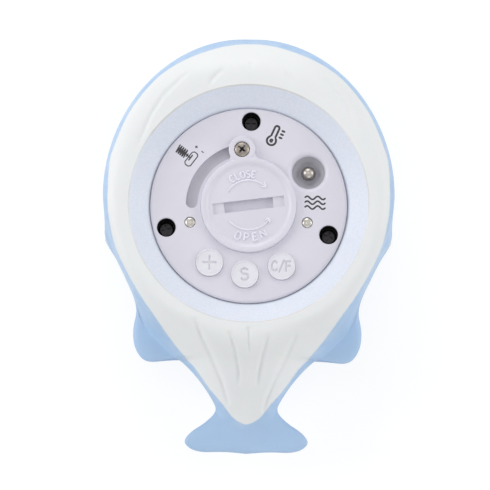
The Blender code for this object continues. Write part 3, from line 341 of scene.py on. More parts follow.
def rounded(points, radius, steps=4):
    """A line with its inner corners rounded: each becomes a short curve that touches both sides."""
    points = [np.array(point, float) for point in points]
    radii = radius if isinstance(radius, (list, tuple)) else [radius] * len(points)
    found = [points[0]]
    for before, here, after, size in zip(points, points[1:], points[2:], radii[1:]):
        back, on = before - here, after - here
        reach = min(size, np.hypot(*back) * 0.45, np.hypot(*on) * 0.45)
        if reach < 0.005:
            found.append(here)
            continue
        start = here + back / np.hypot(*back) * reach
        end = here + on / np.hypot(*on) * reach
        share = np.linspace(0, 1, steps + 1)[:, None]
        found.extend((1 - share) ** 2 * start + 2 * share * (1 - share) * here + share**2 * end)
    found.append(points[-1])
    return found


def box_between(outline, bottom, top):
    """A flat outline raised between two heights: its points and faces."""
    outline = np.asarray(outline, float)
    count = len(outline)
    low = np.column_stack([outline, np.full(count, bottom)])
    high = np.column_stack([outline, np.full(count, top)])
    index = np.arange(count)
    after = (index + 1) % count
    sides = np.stack([index, after, count + after, count + index], -1).tolist()
    return np.vstack([low, high]), sides + [index[::-1].tolist(), (count + index).tolist()]


def combine(target, shapes, operation):
    """Boolean steps with each shape in turn. The outcome becomes the piece's own mesh."""
    helpers = []
    for points, faces in shapes:
        helper = mesh_piece("helper", points, faces, None, None)
        helpers.append(helper)
        step = target.modifiers.new("step", "BOOLEAN")
        step.operation = operation
        step.solver = "EXACT"
        step.object = helper
    graph = bpy.context.evaluated_depsgraph_get()
    outcome = bpy.data.meshes.new_from_object(target.evaluated_get(graph))
    target.modifiers.clear()
    old = target.data
    target.data = outcome
    bpy.data.meshes.remove(old)
    for helper in helpers:
        bpy.data.objects.remove(helper, do_unlink=True)
    smooth(outcome, 30)


def at_angle(from_axis, degrees):
    """The place of a point on the module's face from its distance and angle about the axis."""
    turn = np.radians(degrees)
    return np.stack([from_axis * np.cos(turn), AXIS_Y + from_axis * np.sin(turn)], -1)


def heading(degrees):
    """The direction at an angle, and the one a quarter turn further on."""
    turn = math.radians(degrees)
    along = np.array([math.cos(turn), math.sin(turn)])
    return along, np.array([-along[1], along[0]])


def tilted(lines, place, degrees):
    """Lines in their own frame turned by the angle and set at the place."""
    return [np.asarray(line, float) @ np.vstack(heading(degrees)) + place for line in lines]


def cubic(p0, p1, p2, p3, share):
    """Points at a share of the way from p1 to p2, on the cubic that both neighbours shape."""
    curve = 2 * p1 + (p2 - p0) * share + (2 * p0 - 5 * p1 + 4 * p2 - p3) * share**2
    return (curve + (3 * p1 - p0 - 3 * p2 + p3) * share**3) / 2


def whale_rows():
    """The cross-sections from head to tail.

    The head follows a quarter ellipse in outline and a fuller curve in height. Behind the widest
    section a smooth curve passes through the ribs, with more rows at the fins.
    """
    turns = np.radians(np.linspace(90, 0, HEAD_ROWS + 2))[1:-1]
    along = np.sin(turns)
    y = WIDEST_Y + HEAD_LENGTH * along
    width = HALF_WIDTH * np.cos(turns)
    top = MIDDLE_Z + BELLY_HEIGHT * (1 - along**HEAD_FULLNESS) ** (1 / HEAD_FULLNESS)
    bottom = MIDDLE_Z - BACK_DEPTH * (1 - along**BACK_FULLNESS) ** (1 / BACK_FULLNESS)
    flat = np.ones_like(y)
    head = [y, y, width, width, flat * MIDDLE_Z, top, bottom, flat * BELLY_FULLNESS, 0 * y, 0 * y]
    before = RIBS[0].copy()
    before[:2] += RIBS[0, 0] - RIBS[1, 0]
    table = np.vstack([before, RIBS, 2 * RIBS[-1] - RIBS[-2]])
    parts = np.full(len(RIBS) - 1, RIB_ROWS)
    parts[FIN_RIBS] = FIN_ROWS
    rib = np.repeat(np.arange(len(parts)), parts)
    share = (np.arange(len(rib)) - np.repeat(np.cumsum(parts) - parts, parts))[:, None] / parts[rib][:, None]
    curve = cubic(*(table[rib + i] for i in range(4)), share)
    return np.vstack([np.column_stack(head), curve, RIBS[-1]])


def dome(share, fullness, flare):
    """Height of the trunk at a share of its half width: 1 less a power of the share, to a softer power."""
    power = (1 - flare) / fullness + flare * 1.1
    return np.clip(1 - np.clip(share, 0, 1) ** fullness, 0, 1) ** power


def whale_rings(rows):
    """Points of the whale's skin on a grid of sections and angles.

    Width goes with the sine of the angle. Height is the cube root of the cubes of the trunk's dome and of
    the thin fin edge, above or below the middle. The belly is level round the seat, each side swells a
    little at the eye, and the belly behind the seat is averaged over neighbouring sections.
    """
    belly = np.linspace(-90, 90, BELLY_POINTS, endpoint=False)
    back = np.linspace(90, 270, BACK_POINTS, endpoint=False)
    turn = np.radians(np.concatenate([belly, back]))
    columns = [rows[:, i : i + 1] for i in range(rows.shape[1])]
    centre_y, edge_y, edge, trunk, middle, top, bottom, fullness, flare, half_edge = columns
    x = edge * np.sin(turn)
    upper = np.broadcast_to(np.cos(turn) > -1e-9, x.shape)
    share = np.abs(x) / trunk
    above = (top - middle) * dome(share, fullness, flare)
    below = (middle - bottom) * dome(share, BACK_FULLNESS, flare)
    trunk_height = np.where(upper, above, below)
    blade = half_edge * np.sqrt(np.clip(1 - (np.abs(x) / edge) ** 4, 0, 1))
    height = np.cbrt(trunk_height**3 + blade**3)
    z = np.where(upper, middle + height, middle - height)
    y = centre_y + (edge_y - centre_y) * (np.abs(x) / edge) ** 3
    level = np.clip((LEVEL_RADIUS + LEVEL_FADE - np.hypot(x, y - AXIS_Y)) / LEVEL_FADE, 0, 1)
    level = level * level * (3 - 2 * level) * np.clip(trunk_height / 6, 0, 1)
    z = np.where(upper, z + (LEVEL_Z - z) * level, z)
    off = ((y - EYE_Y) ** 2 + (z - SWELL_Z) ** 2) / (2 * SWELL_WIDTH**2)
    x = x + np.sign(x) * SWELL * np.exp(-off) * (np.abs(x) > edge / 2)
    rings = np.stack([x, y, z], -1)
    weights = np.hanning(2 * SOFT_ROWS + 3)[1:-1]
    padded = np.pad(rings, ((SOFT_ROWS, SOFT_ROWS), (0, 0), (0, 0)), mode="edge")
    mean = sum(weight * padded[i : i + len(rings)] for i, weight in enumerate(weights / weights.sum()))
    inner = np.clip((trunk * 0.97 - np.abs(x)) / (trunk * 0.3), 0, 1) * upper
    inner = inner * np.clip((SOFT_FROM_Y - y) / SOFT_FADE, 0, 1) * np.clip((y - SOFT_TO_Y) / SOFT_FADE, 0, 1)
    return rings + (mean - rings) * inner[..., None]


def nearest(points, line):
    """Distance in plan from each point to a broken line, and how far along the line it lies, from 0 to 1."""
    line = np.asarray(line, float)
    best = np.full(points.shape[:-1], 1e9)
    along = np.zeros(points.shape[:-1])
    lengths = np.hypot(*np.diff(line, axis=0).T)
    total = max(lengths.sum(), 1e-9)
    passed = 0.0
    for start, end, length in zip(line, line[1:], lengths):
        t = np.clip(((points - start) @ (end - start)) / max(length**2, 1e-12), 0, 1)
        gap = np.hypot(*np.moveaxis(points - (start + t[..., None] * (end - start)), -1, 0))
        closer = gap < best
        best = np.where(closer, gap, best)
        along = np.where(closer, (passed + t * length) / total, along)
        passed += length
    return best, along


# Materials


class Nodes:
    """Short ways to add shader nodes to one material."""

    def __init__(self, name):
        self.material = bpy.data.materials.new(name)
        self.material.use_nodes = True
        self.tree = self.material.node_tree
        self.shader = self.tree.nodes["Principled BSDF"]
        self.place = self.add("ShaderNodeTexCoord").outputs["Object"]

    def add(self, kind, **values):
        made = self.tree.nodes.new(kind)
        for name, value in values.items():
            setattr(made, name, value)
        return made

    def join(self, source, target):
        self.tree.links.new(source, target)

    def put(self, value, socket):
        """Gives a socket a link, a number or a colour."""
        if isinstance(value, bpy.types.NodeSocket):
            self.join(value, socket)
        else:
            socket.default_value = (*value, 1.0) if socket.type == "RGBA" else value

    def axes(self):
        """The object's own x, y and z."""
        made = self.add("ShaderNodeSeparateXYZ")
        self.join(self.place, made.inputs[0])
        return made.outputs

    def distance(self, first, second, centre):
        """How far a pair of coordinates lies from a centre."""
        pair = self.add("ShaderNodeCombineXYZ")
        self.join(first, pair.inputs[0])
        self.join(second, pair.inputs[1])
        made = self.add("ShaderNodeVectorMath", operation="DISTANCE")
        self.join(pair.outputs[0], made.inputs[0])
        made.inputs[1].default_value = (*centre, 0)
        return made.outputs["Value"]

    def math(self, operation, *values):
        made = self.add("ShaderNodeMath", operation=operation)
        for value, socket in zip(values, made.inputs):
            self.put(value, socket)
        return made.outputs[0]

    def times(self, first, *others):
        for other in others:
            first = self.math("MULTIPLY", first, other)
        return first

    def noise(self, scale, detail=3.0, vector=None):
        made = self.add("ShaderNodeTexNoise")
        made.inputs["Scale"].default_value = scale
        made.inputs["Detail"].default_value = detail
        made.inputs["Roughness"].default_value = 0.55
        self.join(vector or self.place, made.inputs["Vector"])
        return made.outputs["Fac"]

    def step(self, value, low, high, to_low=0.0, to_high=1.0):
        """A smooth step from one value to another between two limits."""
        made = self.add("ShaderNodeMapRange", interpolation_type="SMOOTHSTEP")
        for given, socket in zip((value, low, high, to_low, to_high), made.inputs):
            self.put(given, socket)
        return made.outputs[0]

    def spread(self, pattern, low=0.0, high=1.0):
        """A noise pattern stretched to run between two values."""
        return self.step(pattern, 0.3, 0.7, low, high)

    def mix(self, factor, first, second):
        made = self.add("ShaderNodeMix", data_type="RGBA")
        self.put(factor, made.inputs["Factor"])
        for value, socket in zip((first, second), (s for s in made.inputs if s.type == "RGBA")):
            self.put(value, socket)
        return next(socket for socket in made.outputs if socket.type == "RGBA")

    def clouded(self, pattern, colour, dark, light):
        """The colour between two shades of itself, as the pattern says."""
        return self.mix(pattern, shade(colour, dark), shade(colour, light))

    def bump(self, height, strength, distance):
        made = self.add("ShaderNodeBump")
        made.inputs["Strength"].default_value = strength
        made.inputs["Distance"].default_value = distance
        self.join(height, made.inputs["Height"])
        return made.outputs["Normal"]

    def finish(self, colour, roughness, normal=None, **constants):
        """The material from its colour, roughness and bump, with other constants on the shader's sockets."""
        self.put(colour, self.shader.inputs["Base Color"])
        self.put(roughness, self.shader.inputs["Roughness"])
        if normal is not None:
            self.join(normal, self.shader.inputs["Normal"])
        for name, value in constants.items():
            self.shader.inputs[name.replace("_", " ")].default_value = value
        return self.material


def shade(colour, factor):
    """The colour made darker or lighter."""
    return tuple(min(channel * factor, 1.0) for channel in colour)


def painted_vinyl(colours, sizes):
    """Blue vinyl whose belly is sprayed white through a mask, with eyes printed on the sides."""
    n = Nodes("painted_vinyl")
    x, y, z = n.axes()
    edge = n.add("ShaderNodeAttribute", attribute_name="paint_edge").outputs["Fac"]
    inside = n.math("ADD", edge, n.times(n.math("SUBTRACT", n.noise(900, 2.0), 0.5), 0.00022))
    high = n.step(z, 0.0165, 0.0180)
    painted = n.times(n.step(inside, -sizes.paint_softness, sizes.paint_softness), high)
    haze = n.times(n.step(inside, -0.0022, 0.0004, 0.0, 0.28), high, n.step(n.noise(260), 0.35, 0.75))
    painted = n.math("MAXIMUM", painted, haze)
    cloud = n.spread(n.noise(42, 4.0))
    blue = n.clouded(cloud, colours.vinyl, 0.965, 1.03)
    white = n.clouded(cloud, colours.belly, 0.985, 1.01)
    colour = n.mix(painted, blue, white)
    # The seat's thinner paint, and the dull line left where the spray mask ended at its rim
    rim = SEAT_RADIUS * MM
    from_axis = n.distance(x, y, AXIS * MM)
    in_seat = n.times(n.step(from_axis, rim + 0.00002, rim - 0.00012), n.step(z, 0.020, 0.024))
    seat = n.clouded(n.step(n.noise(1500, 2.0), 0.35, 0.65), colours.seat, 0.98, 1.02)
    colour = n.mix(in_seat, colour, seat)
    outer, inner = (n.step(from_axis, rim + limit, rim + 0.00005) for limit in (-0.00025, 0.00035))
    patchy = n.step(n.noise(55, 2.0), 0.38, 0.62, 0.15, 0.75)
    trim = n.times(outer, inner, patchy, n.step(z, 0.030, 0.034))
    colour = n.mix(trim, colour, (0.60, 0.585, 0.54))
    on_side = n.step(n.math("ABSOLUTE", x), 0.030, 0.031)
    for aside, radius, tone in EYE_DISCS:
        reach = n.distance(y, z, (EYE_Y * MM + aside, EYE_Z * MM - aside))
        colour = n.mix(n.times(n.step(reach, radius + 0.0001, radius - 0.0001), on_side), colour, tone)
    wide = n.noise(150)
    height = n.math("ADD", n.times(n.noise(2600, 2.0), 0.35), n.times(wide, 0.65))
    height = n.math("ADD", height, n.times(painted, 0.25))
    rough, normal = n.spread(wide, 0.46, 0.56), n.bump(height, 0.22, 0.00012)
    return n.finish(colour, rough, normal, Subsurface_Weight=0.06, Subsurface_Scale=0.002)


def moulded(name, colour, rough, painted_recess_shade=None):
    """Fine matt plastic: a spark-eroded grain, a slight cloud in the colour and, if given, painted shade in
    its recesses.
    """
    n = Nodes(name)
    tone = n.clouded(n.spread(n.noise(60)), colour, 0.975, 1.02)
    if painted_recess_shade is not None:
        tone = painted_recess_shade(n, tone, colour)
    fine = n.noise(3200, 2.0)
    return n.finish(tone, n.spread(fine, rough - 0.05, rough + 0.06), n.bump(fine, 0.25, 0.00006))


def module_painted_recess_shade(n, tone, colour):
    """The tone made greyer down in the slot and the probe's cup, and nearly black down the screw wells:
    painted shade in the recesses.
    """
    x, y, z = n.axes()
    # Painted shade: greyer down in the slot and the cup, nearly black down the screw wells
    tone = n.mix(n.step(z, (FACE_Z - 0.85) * MM, (FACE_Z - 2.3) * MM), tone, shade(colour, 0.55))
    below = n.step(z, (FACE_Z - 0.12) * MM, (FACE_Z - 0.5) * MM)
    for screw in COVER_SCREWS:
        inside = n.step(n.distance(x, y, middle_of(screw) * MM), 0.0030, 0.0028)
        tone = n.mix(n.times(below, inside), tone, (0.011, 0.009, 0.012))
    return tone


def metal(name, colour, rough, painted_shade_below=None):
    """Plain metal with fine scratches along one direction and a little wear in its gloss.

    Below the given height, in millimetres, it darkens nearly to black: painted shade down in a recess.
    """
    n = Nodes(name)
    stretch = n.add("ShaderNodeMapping")
    stretch.inputs["Scale"].default_value = (1.0, 12.0, 1.0)
    n.join(n.place, stretch.inputs["Vector"])
    lines = n.noise(2200, vector=stretch.outputs[0])
    tone = n.clouded(n.spread(n.noise(700, 2.0)), colour, 0.9, 1.06)
    if painted_shade_below is not None:
        # Painted shade: nearly black below the height, where a recess lies in shade
        deep = n.step(n.axes()[2], painted_shade_below * MM, (painted_shade_below - 0.06) * MM)
        tone = n.mix(deep, tone, (0.02, 0.018, 0.016))
    gloss = n.spread(lines, rough - 0.06, rough + 0.1)
    return n.finish(tone, gloss, n.bump(lines, 0.3, 0.00003), Metallic=1.0)


def soft_rubber(name, colour, rough=0.6, pressed=None):
    """Matt rubber or silicone with a dusty fine grain, greyer between two heights where marks are pressed:
    painted shade in the marks.
    """
    n = Nodes(name)
    tone = n.clouded(n.spread(n.noise(300)), colour, 0.97, 1.03)
    if pressed is not None:
        # Painted shade down in the pressed marks
        deep = n.step(n.axes()[2], pressed[0] * MM, pressed[1] * MM, 0.0, 0.8)
        tone = n.mix(deep, tone, shade(colour, 0.88))
    fine = n.noise(4200, 2.0)
    return n.finish(tone, n.spread(fine, rough - 0.06, rough + 0.06), n.bump(fine, 0.2, 0.00005))


def clear_window():
    """Clear polished window plastic with faint ripples."""
    n = Nodes("clear_window")
    ripple = n.bump(n.noise(90, 2.0), 0.05, 0.0001)
    rough = n.spread(n.noise(500, 2.0), 0.03, 0.08)
    return n.finish((0.93, 0.95, 0.96), rough, ripple, Transmission_Weight=0.92, IOR=1.49)


def display_film():
    """Grey-green display film with the faint rows of its unlit figures."""
    n = Nodes("display_film")
    wave = n.add("ShaderNodeTexWave", wave_type="BANDS", bands_direction="X")
    wave.inputs["Scale"].default_value = 60
    n.join(n.place, wave.inputs["Vector"])
    tone = n.mix(n.step(wave.outputs["Fac"], 0.2, 0.8, 0.0, 0.12), (0.42, 0.47, 0.40), (0.30, 0.34, 0.29))
    return n.finish(tone, n.spread(n.noise(800, 2.0), 0.22, 0.32))


def board_lacquer():
    """Green circuit board lacquer over faint tracks."""
    n = Nodes("board_lacquer")
    tracks = n.add("ShaderNodeTexBrick")
    tracks.inputs["Scale"].default_value = 380
    greens = {"Color1": (0.02, 0.17, 0.06), "Color2": (0.015, 0.13, 0.05), "Mortar": (0.05, 0.27, 0.11)}
    for name, green in greens.items():
        n.put(green, tracks.inputs[name])
    n.join(n.place, tracks.inputs["Vector"])
    return n.finish(tracks.outputs["Color"], n.spread(n.noise(900, 2.0), 0.32, 0.45))


# Pieces


def heights(node):
    """The bottom and the top of a CAD node, in millimetres."""
    low, high = cad(node)
    return float(low[2]), float(high[2])


def smooth_line(points, steps):
    """A smooth line through the points, with a number of steps between each two."""
    points = np.asarray(points, float)
    points = np.vstack([2 * points[0] - points[1], points, 2 * points[-1] - points[-2]])
    share = np.linspace(0, 1, steps, endpoint=False)[:, None]
    line = cubic(*(points[i : len(points) - 3 + i, None, :] for i in range(4)), share)
    return np.vstack([line.reshape(-1, 2), points[-2]])


def mark_paint(skin):
    """Gives each point of the skin how far it lies inside the edge of the white paint, in metres.

    The edge is mirrored at both ends before it is smoothed, so that it crosses the middle squarely.
    """
    mesh = skin.data
    points = np.empty(len(mesh.vertices) * 3)
    mesh.vertices.foreach_get("co", points)
    points = points.reshape(-1, 3) / MM
    line = np.array(PAINT)[:, ::-1]
    ends = line[[1, -2]] * (-1, 1)
    steps = 8
    edge = smooth_line(np.vstack([ends[:1], line, ends[1:]]), steps)[steps:-steps]
    plan = np.column_stack([np.abs(points[:, 0]), points[:, 1]])
    gap, _ = nearest(plan, edge)
    half = np.interp(plan[:, 1], edge[::-1, 1], edge[::-1, 0], left=-1, right=-1)
    gap = np.where(plan[:, 0] < half, gap, -gap)
    mark = mesh.attributes.new("paint_edge", "FLOAT", "POINT")
    mark.data.foreach_set("value", gap * MM)


def build_skin(sizes, colours):
    """The whale's skin with its seat, its creases and its painted belly.

    Each crease lowers the belly by a bell curve of the distance from its line and fades at both ends. A
    turned shape then cuts out the seat, the bore for the module and the hole for the display.
    """
    rings = whale_rings(whale_rows())
    pressed = np.zeros(rings.shape[:2])
    for share, line in PLEATS:
        gap, along = nearest(rings[..., :2], line)
        taper = np.clip(np.minimum(along, 1 - along) * 5, 0, 1) ** 0.5
        pressed = np.maximum(pressed, share * np.exp(-((gap * MM / sizes.pleat_width) ** 2)) * taper)
    rings[..., 2] -= np.where(rings[..., 2] > CREASES_ABOVE_Z, pressed * sizes.pleat_depth / MM, 0)
    points, faces = closed_rings(rings, (0, WIDEST_Y + HEAD_LENGTH, MIDDLE_Z), TAIL_TIP)
    skin = mesh_piece("whale_skin", points, faces, "whale", painted_vinyl(colours, sizes))
    bore = DISC_RADIUS + SEAT_GAP
    mouth = SEAT_RADIUS + 0.25
    above, below = SEAT_RIM_Z + 10, -5
    ledge = SEAT_RIM_Z - SEAT_DROP
    profile = [
        (0, above), (mouth, above), (mouth, SEAT_RIM_Z + 0.3), (SEAT_RADIUS, SEAT_RIM_Z),
        (bore + 0.8, ledge + 0.55), (bore, ledge - 0.4), (bore, DISPLAY_HOLE_TOP),
        (DISPLAY_HOLE_RADIUS, DISPLAY_HOLE_TOP), (DISPLAY_HOLE_RADIUS, below), (0, below),
    ]
    combine(skin, [turned(profile, 240, AXIS)], "DIFFERENCE")
    mark_paint(skin)
    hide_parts("body_shell")


def post(place, radius, depth, steps):
    """A round post under the module's face, which a hole then makes into a tube."""
    top, end = FACE_Z - 1, FACE_Z - depth
    return turned([(0, top), (radius, top), (radius, end), (0, end)], steps, place)


def well(node, radius, depth, chamfer, steps):
    """A round hole in the module's face over a node, with a small chamfer at its mouth."""
    top, floor = FACE_Z + ABOVE_FACE, FACE_Z - depth
    mouth = radius + chamfer
    wall = [(mouth + 0.4, top), (mouth, FACE_Z + 0.01), (radius, FACE_Z - chamfer), (radius, floor)]
    return turned([(0, top), *wall, (0, floor)], steps, middle_of(node))


def arc_slot_outline():
    """Outline of the curved slot: an outer arc, a round far end, an inner arc and a round near end."""
    half = (SLOT_OUTER - SLOT_INNER) / 2
    start, end = LUG_ANGLE, LUG_ANGLE + DOOR_TURN
    swing = np.radians(np.linspace(0, 180, 24))[1:, None]
    outer, inner = (at_angle(radius, np.linspace(start, end, 60)) for radius in (SLOT_OUTER, SLOT_INNER))
    across, ahead = heading(end)
    far = at_angle(SLOT_OUTER - half, end) + half * (np.cos(swing) * across + np.sin(swing) * ahead)
    across, ahead = heading(start)
    near = at_angle(SLOT_OUTER - half, start) + half * (np.cos(swing) * across - np.sin(swing) * ahead)[::-1]
    return np.vstack([outer, far, inner[::-1], near])


def build_plate(colours):
    """The round face of the module: a turned disc with a rolled edge, less its wells, cup, holes and slot.

    The lip of the cup is a quarter of an ellipse turned round the probe, over a short cone.
    """
    corners = [(radius, FACE_Z - depth) for radius, depth, _ in PLATE_PROFILE]
    profile = rounded(corners, [size for *_, size in PLATE_PROFILE], 6)
    # The plate's plastic carries painted shade in its recesses
    look = moulded("module_plastic", colours.shell, 0.42, module_painted_recess_shade)
    plate = mesh_piece("module_plate", *turned(profile, 200, AXIS), "whale", look)
    probe = middle_of("temperature_probe")
    posts = [post(middle_of(name), WELL_RADIUS + WELL_WALL, 7.5, 40) for name in COVER_SCREWS]
    posts.append(post(probe, CUP_RADIUS + 0.75, CUP_DEPTH + 1.2, 64))
    cuts = [well(name, WELL_RADIUS, WELL_DEPTH, 0.25, 64) for name in COVER_SCREWS]
    cuts += [well(name, KEY_HOLE_RADIUS, KEY_HOLE_DEPTH, 0.04, 96) for name, *_ in KEY_LEGENDS]
    cuts += [well(name, CONTACT_HOLE_RADIUS, CONTACT_HOLE_DEPTH, 0.12, 48) for name in WATER_CONTACTS]
    share = np.linspace(0, 1, 12)
    turn = share * math.pi / 2
    lip_radius = CUP_RADIUS + CUP_LIP * (1 - np.sin(turn))
    lip_height = FACE_Z + 0.01 - CUP_LIP_DROP * (1 - np.cos(turn)) - 0.12 * share
    above = FACE_Z + ABOVE_FACE
    cup = [(0, above), (CUP_RADIUS + CUP_LIP + 0.3, above), *zip(lip_radius, lip_height)]
    cone = ((CUP_RADIUS - 0.05, 1.6), (CUP_RADIUS - 0.2, 2.2), (2.7, CUP_DEPTH), (0, CUP_DEPTH))
    cup += rounded([(radius, FACE_Z - depth) for radius, depth in cone], 0.4, 5)
    cuts.append(turned(cup, 96, probe))
    cuts.append(box_between(arc_slot_outline(), FACE_Z - SLOT_DEPTH, FACE_Z + 2))
    combine(plate, posts, "UNION")
    combine(plate, cuts, "DIFFERENCE")
    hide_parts("module_base")


def build_door(colours):
    """The battery door: a turned cap with a rolled rim and a neck, a round lug on a web, and a coin slot.

    The web widens with the cube of the way from the lug to the rim.
    """
    top, bottom = DOOR_TOP_Z, float(DOOR_LOW[2])
    rim, foot = DOOR_RADIUS - DOOR_RIM_WIDTH, FACE_Z - 2.1
    profile = rounded(
        [
            (0, DOOR_FACE_Z), (rim, DOOR_FACE_Z), (rim + 0.9, top), (DOOR_RADIUS - 0.02, top),
            (DOOR_RADIUS, top - 1.0), (DOOR_RADIUS, foot), (DOOR_NECK_RADIUS, foot),
            (DOOR_NECK_RADIUS, bottom), (0, bottom),
        ],
        [0, 0.45, 0.6, 0.75, 0.1, 0.2, 0, 0.3, 0],
        6,
    )
    look = moulded("door_plastic", shade(colours.shell, 0.985), 0.38)
    door = mesh_piece("coin_door", *turned(profile, 200, AXIS), "door", look)
    lug = at_angle(LUG_FROM_AXIS, LUG_ANGLE)
    under, pin_end = top - LUG_THICKNESS, FACE_Z - 1.2
    edge = [(0, top), (LUG_RADIUS, top), (LUG_RADIUS, under)]
    edge += [(LUG_PIN_RADIUS, under), (LUG_PIN_RADIUS, pin_end), (0, pin_end)]
    disc = turned(rounded(edge, [0, 0.5, 0.15, 0, 0.1, 0], 6), 96, lug)
    share = np.linspace(0, 1, 9)[:, None]
    out, aside = heading(LUG_ANGLE)
    spine = AXIS + (LUG_FROM_AXIS - 0.6 - 2.9 * share) * out
    half = (3.45 + 1.0 * share**3) * aside
    web = box_between(np.vstack([spine + half, (spine - half)[::-1]]), under, top - 0.12)
    combine(door, [disc, web], "UNION")
    seat = [(0, top + 1), (2.65, top + 1), (2.5, top), (2.2, top - 0.25), (2.2, top - 0.9), (0, top - 0.9)]
    cuts = [turned(seat, 64, lug)]
    corners = np.array([(-1, -1), (1, -1), (1, 1), (-1, 1)]) / 2
    for length, width, depth in COIN_SLOT:
        (outline,) = tilted([corners * (length, width)], AXIS, CLOSED_ANGLE)
        cuts.append(box_between(outline, DOOR_FACE_Z - depth, top + 1))
    combine(door, cuts, "DIFFERENCE")
    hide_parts("battery_door")


def ribbon(path, width, rise, base):
    """A raised line: a half-round section carried along a path in plan, thinned to a point at both ends."""
    path = np.asarray(path, float)
    gaps = np.hypot(*np.diff(path, axis=0).T)
    reach = np.concatenate([[0], np.cumsum(gaps)])
    count = max(int(reach[-1] / 0.12), 6)
    spots = np.linspace(0, reach[-1], count)
    line = np.column_stack([np.interp(spots, reach, path[:, i]) for i in range(2)])
    way = np.gradient(line, axis=0)
    way /= np.hypot(*way.T)[:, None]
    aside = np.column_stack([-way[:, 1], way[:, 0]])
    closeness = np.minimum(spots, reach[-1] - spots) / (width / 2)
    size = np.sqrt(np.clip(1 - (1 - np.clip(closeness, 0.08, 1)) ** 2, 0, 1))
    turn = np.linspace(0, 2 * math.pi, 12, endpoint=False)
    across = np.cos(turn) * width / 2
    up = np.where(np.sin(turn) > 0, np.abs(np.sin(turn)) ** 0.45 * rise, -0.05)
    rings = np.empty((count, len(turn), 3))
    rings[..., :2] = line[:, None] + aside[:, None] * (across * size[:, None])[..., None]
    rings[..., 2] = base + np.where(up > 0, up * size[:, None], up)
    start = (*line[0] - way[0] * width * 0.04, base)
    end = (*line[-1] + way[-1] * width * 0.04, base)
    return closed_rings(rings, start, end)


def several(shapes):
    """Several shapes, given as points and faces, as one."""
    points, faces, count = [], [], 0
    for some_points, some_faces in shapes:
        points.append(some_points)
        faces += [tuple(index + count for index in face) for face in some_faces]
        count += len(some_points)
    return np.vstack(points), faces


def oval(start, end, centre=(0.5, 0.5), size=(0.5, 0.5), steps=22):
    """Points on an oval between two angles."""
    turn = np.radians(np.linspace(start, end, steps))
    return np.column_stack([centre[0] + size[0] * np.cos(turn), centre[1] + size[1] * np.sin(turn)])


LETTERS = {
    "C": [oval(45, 315)],
    "L": [[(0.1, 1), (0.1, 0), (0.9, 0)]],
    "O": [oval(90, 450)],
    "S": [np.vstack([oval(40, 270, (0.5, 0.76), (0.42, 0.24)), oval(90, -140, (0.5, 0.26), (0.45, 0.26))])],
    "E": [[(0.9, 1), (0.1, 1), (0.1, 0), (0.9, 0)], [(0.1, 0.52), (0.75, 0.52)]],
    "P": [np.vstack([[(0.1, 0), (0.1, 1), (0.5, 1)], oval(90, -90, (0.5, 0.74), (0.4, 0.26)), [(0.1, 0.48)]])],
    "N": [[(0.0, 0), (0.0, 1)], [(0.0, 1), (1.0, 0)], [(1.0, 0), (1.0, 1)]],
    "F": [[(0.1, 0), (0.1, 1), (0.9, 1)], [(0.1, 0.52), (0.75, 0.52)]],
    "/": [[(0.1, -0.08), (0.9, 1.08)]],
    "+": [[(0, 0.5), (1, 0.5)], [(0.5, 0), (0.5, 1)]],
    "-": [[(0, 0.5), (1, 0.5)]],
}

# Words on the door: radius, height and width of a letter, angles of the first and last, whether they face out
DOOR_WORDS = (("CLOSE", 8.6, 1.85, 1.2, 122.5, 81.0, True), ("OPEN", 9.1, 2.15, 1.5, 251.5, 297.0, False))

# Arrows on the door: start, end and the way they turn, on one radius
DOOR_ARROWS = ((150, 48, -1), (221, 327, 1))
ARROW_RADIUS = 6.95


def curved_word(word, radius, height, width, first, last, outward):
    """Letters set on an arc about the module's axis. Outward ones read clockwise, the others anticlockwise."""
    way = 1 if outward else -1
    lines = []
    for letter, centre in zip(word, np.linspace(first, last, len(word))):
        for stroke in LETTERS[letter]:
            along, up = ((np.asarray(stroke, float) - 0.5) * (width, height)).T
            lines.append(at_angle(radius + way * up, centre - way * np.degrees(along / radius)))
    return lines


def build_door_marks(sizes, colours):
    """The raised words and turning arrows on the door, lighter than the door: a painted highlight where their
    tops catch the light.
    """
    lines = []
    for word in DOOR_WORDS:
        lines += curved_word(*word)
    for start, end, way in DOOR_ARROWS:
        lines.append(at_angle(ARROW_RADIUS, np.linspace(start, end, 60)))
        for step in (-0.75, 0.75):
            barb = at_angle(ARROW_RADIUS + step, end - way * 9)
            lines.append(np.array([barb, at_angle(ARROW_RADIUS, end + way * 2)]))
    shapes = [ribbon(line, 0.46, sizes.letter_height / MM, DOOR_FACE_Z) for line in lines]
    # The marks are lighter than the door: a painted highlight on their tops
    painted_highlight_plastic = moulded("marks_plastic_painted_highlight", shade(colours.shell, 1.13), 0.3)
    marks = mesh_piece("door_marks", *several(shapes), "door", painted_highlight_plastic)


def legend_lines(text, centre, height, width, gap):
    """The strokes of a short legend set level about a centre."""
    lines = []
    left = centre[0] - (len(text) * (width + gap) - gap) / 2
    for index, letter in enumerate(text):
        corner = (left + index * (width + gap), centre[1] - height / 2)
        lines += [np.asarray(stroke, float) * (width, height) + corner for stroke in LETTERS[letter]]
    return lines


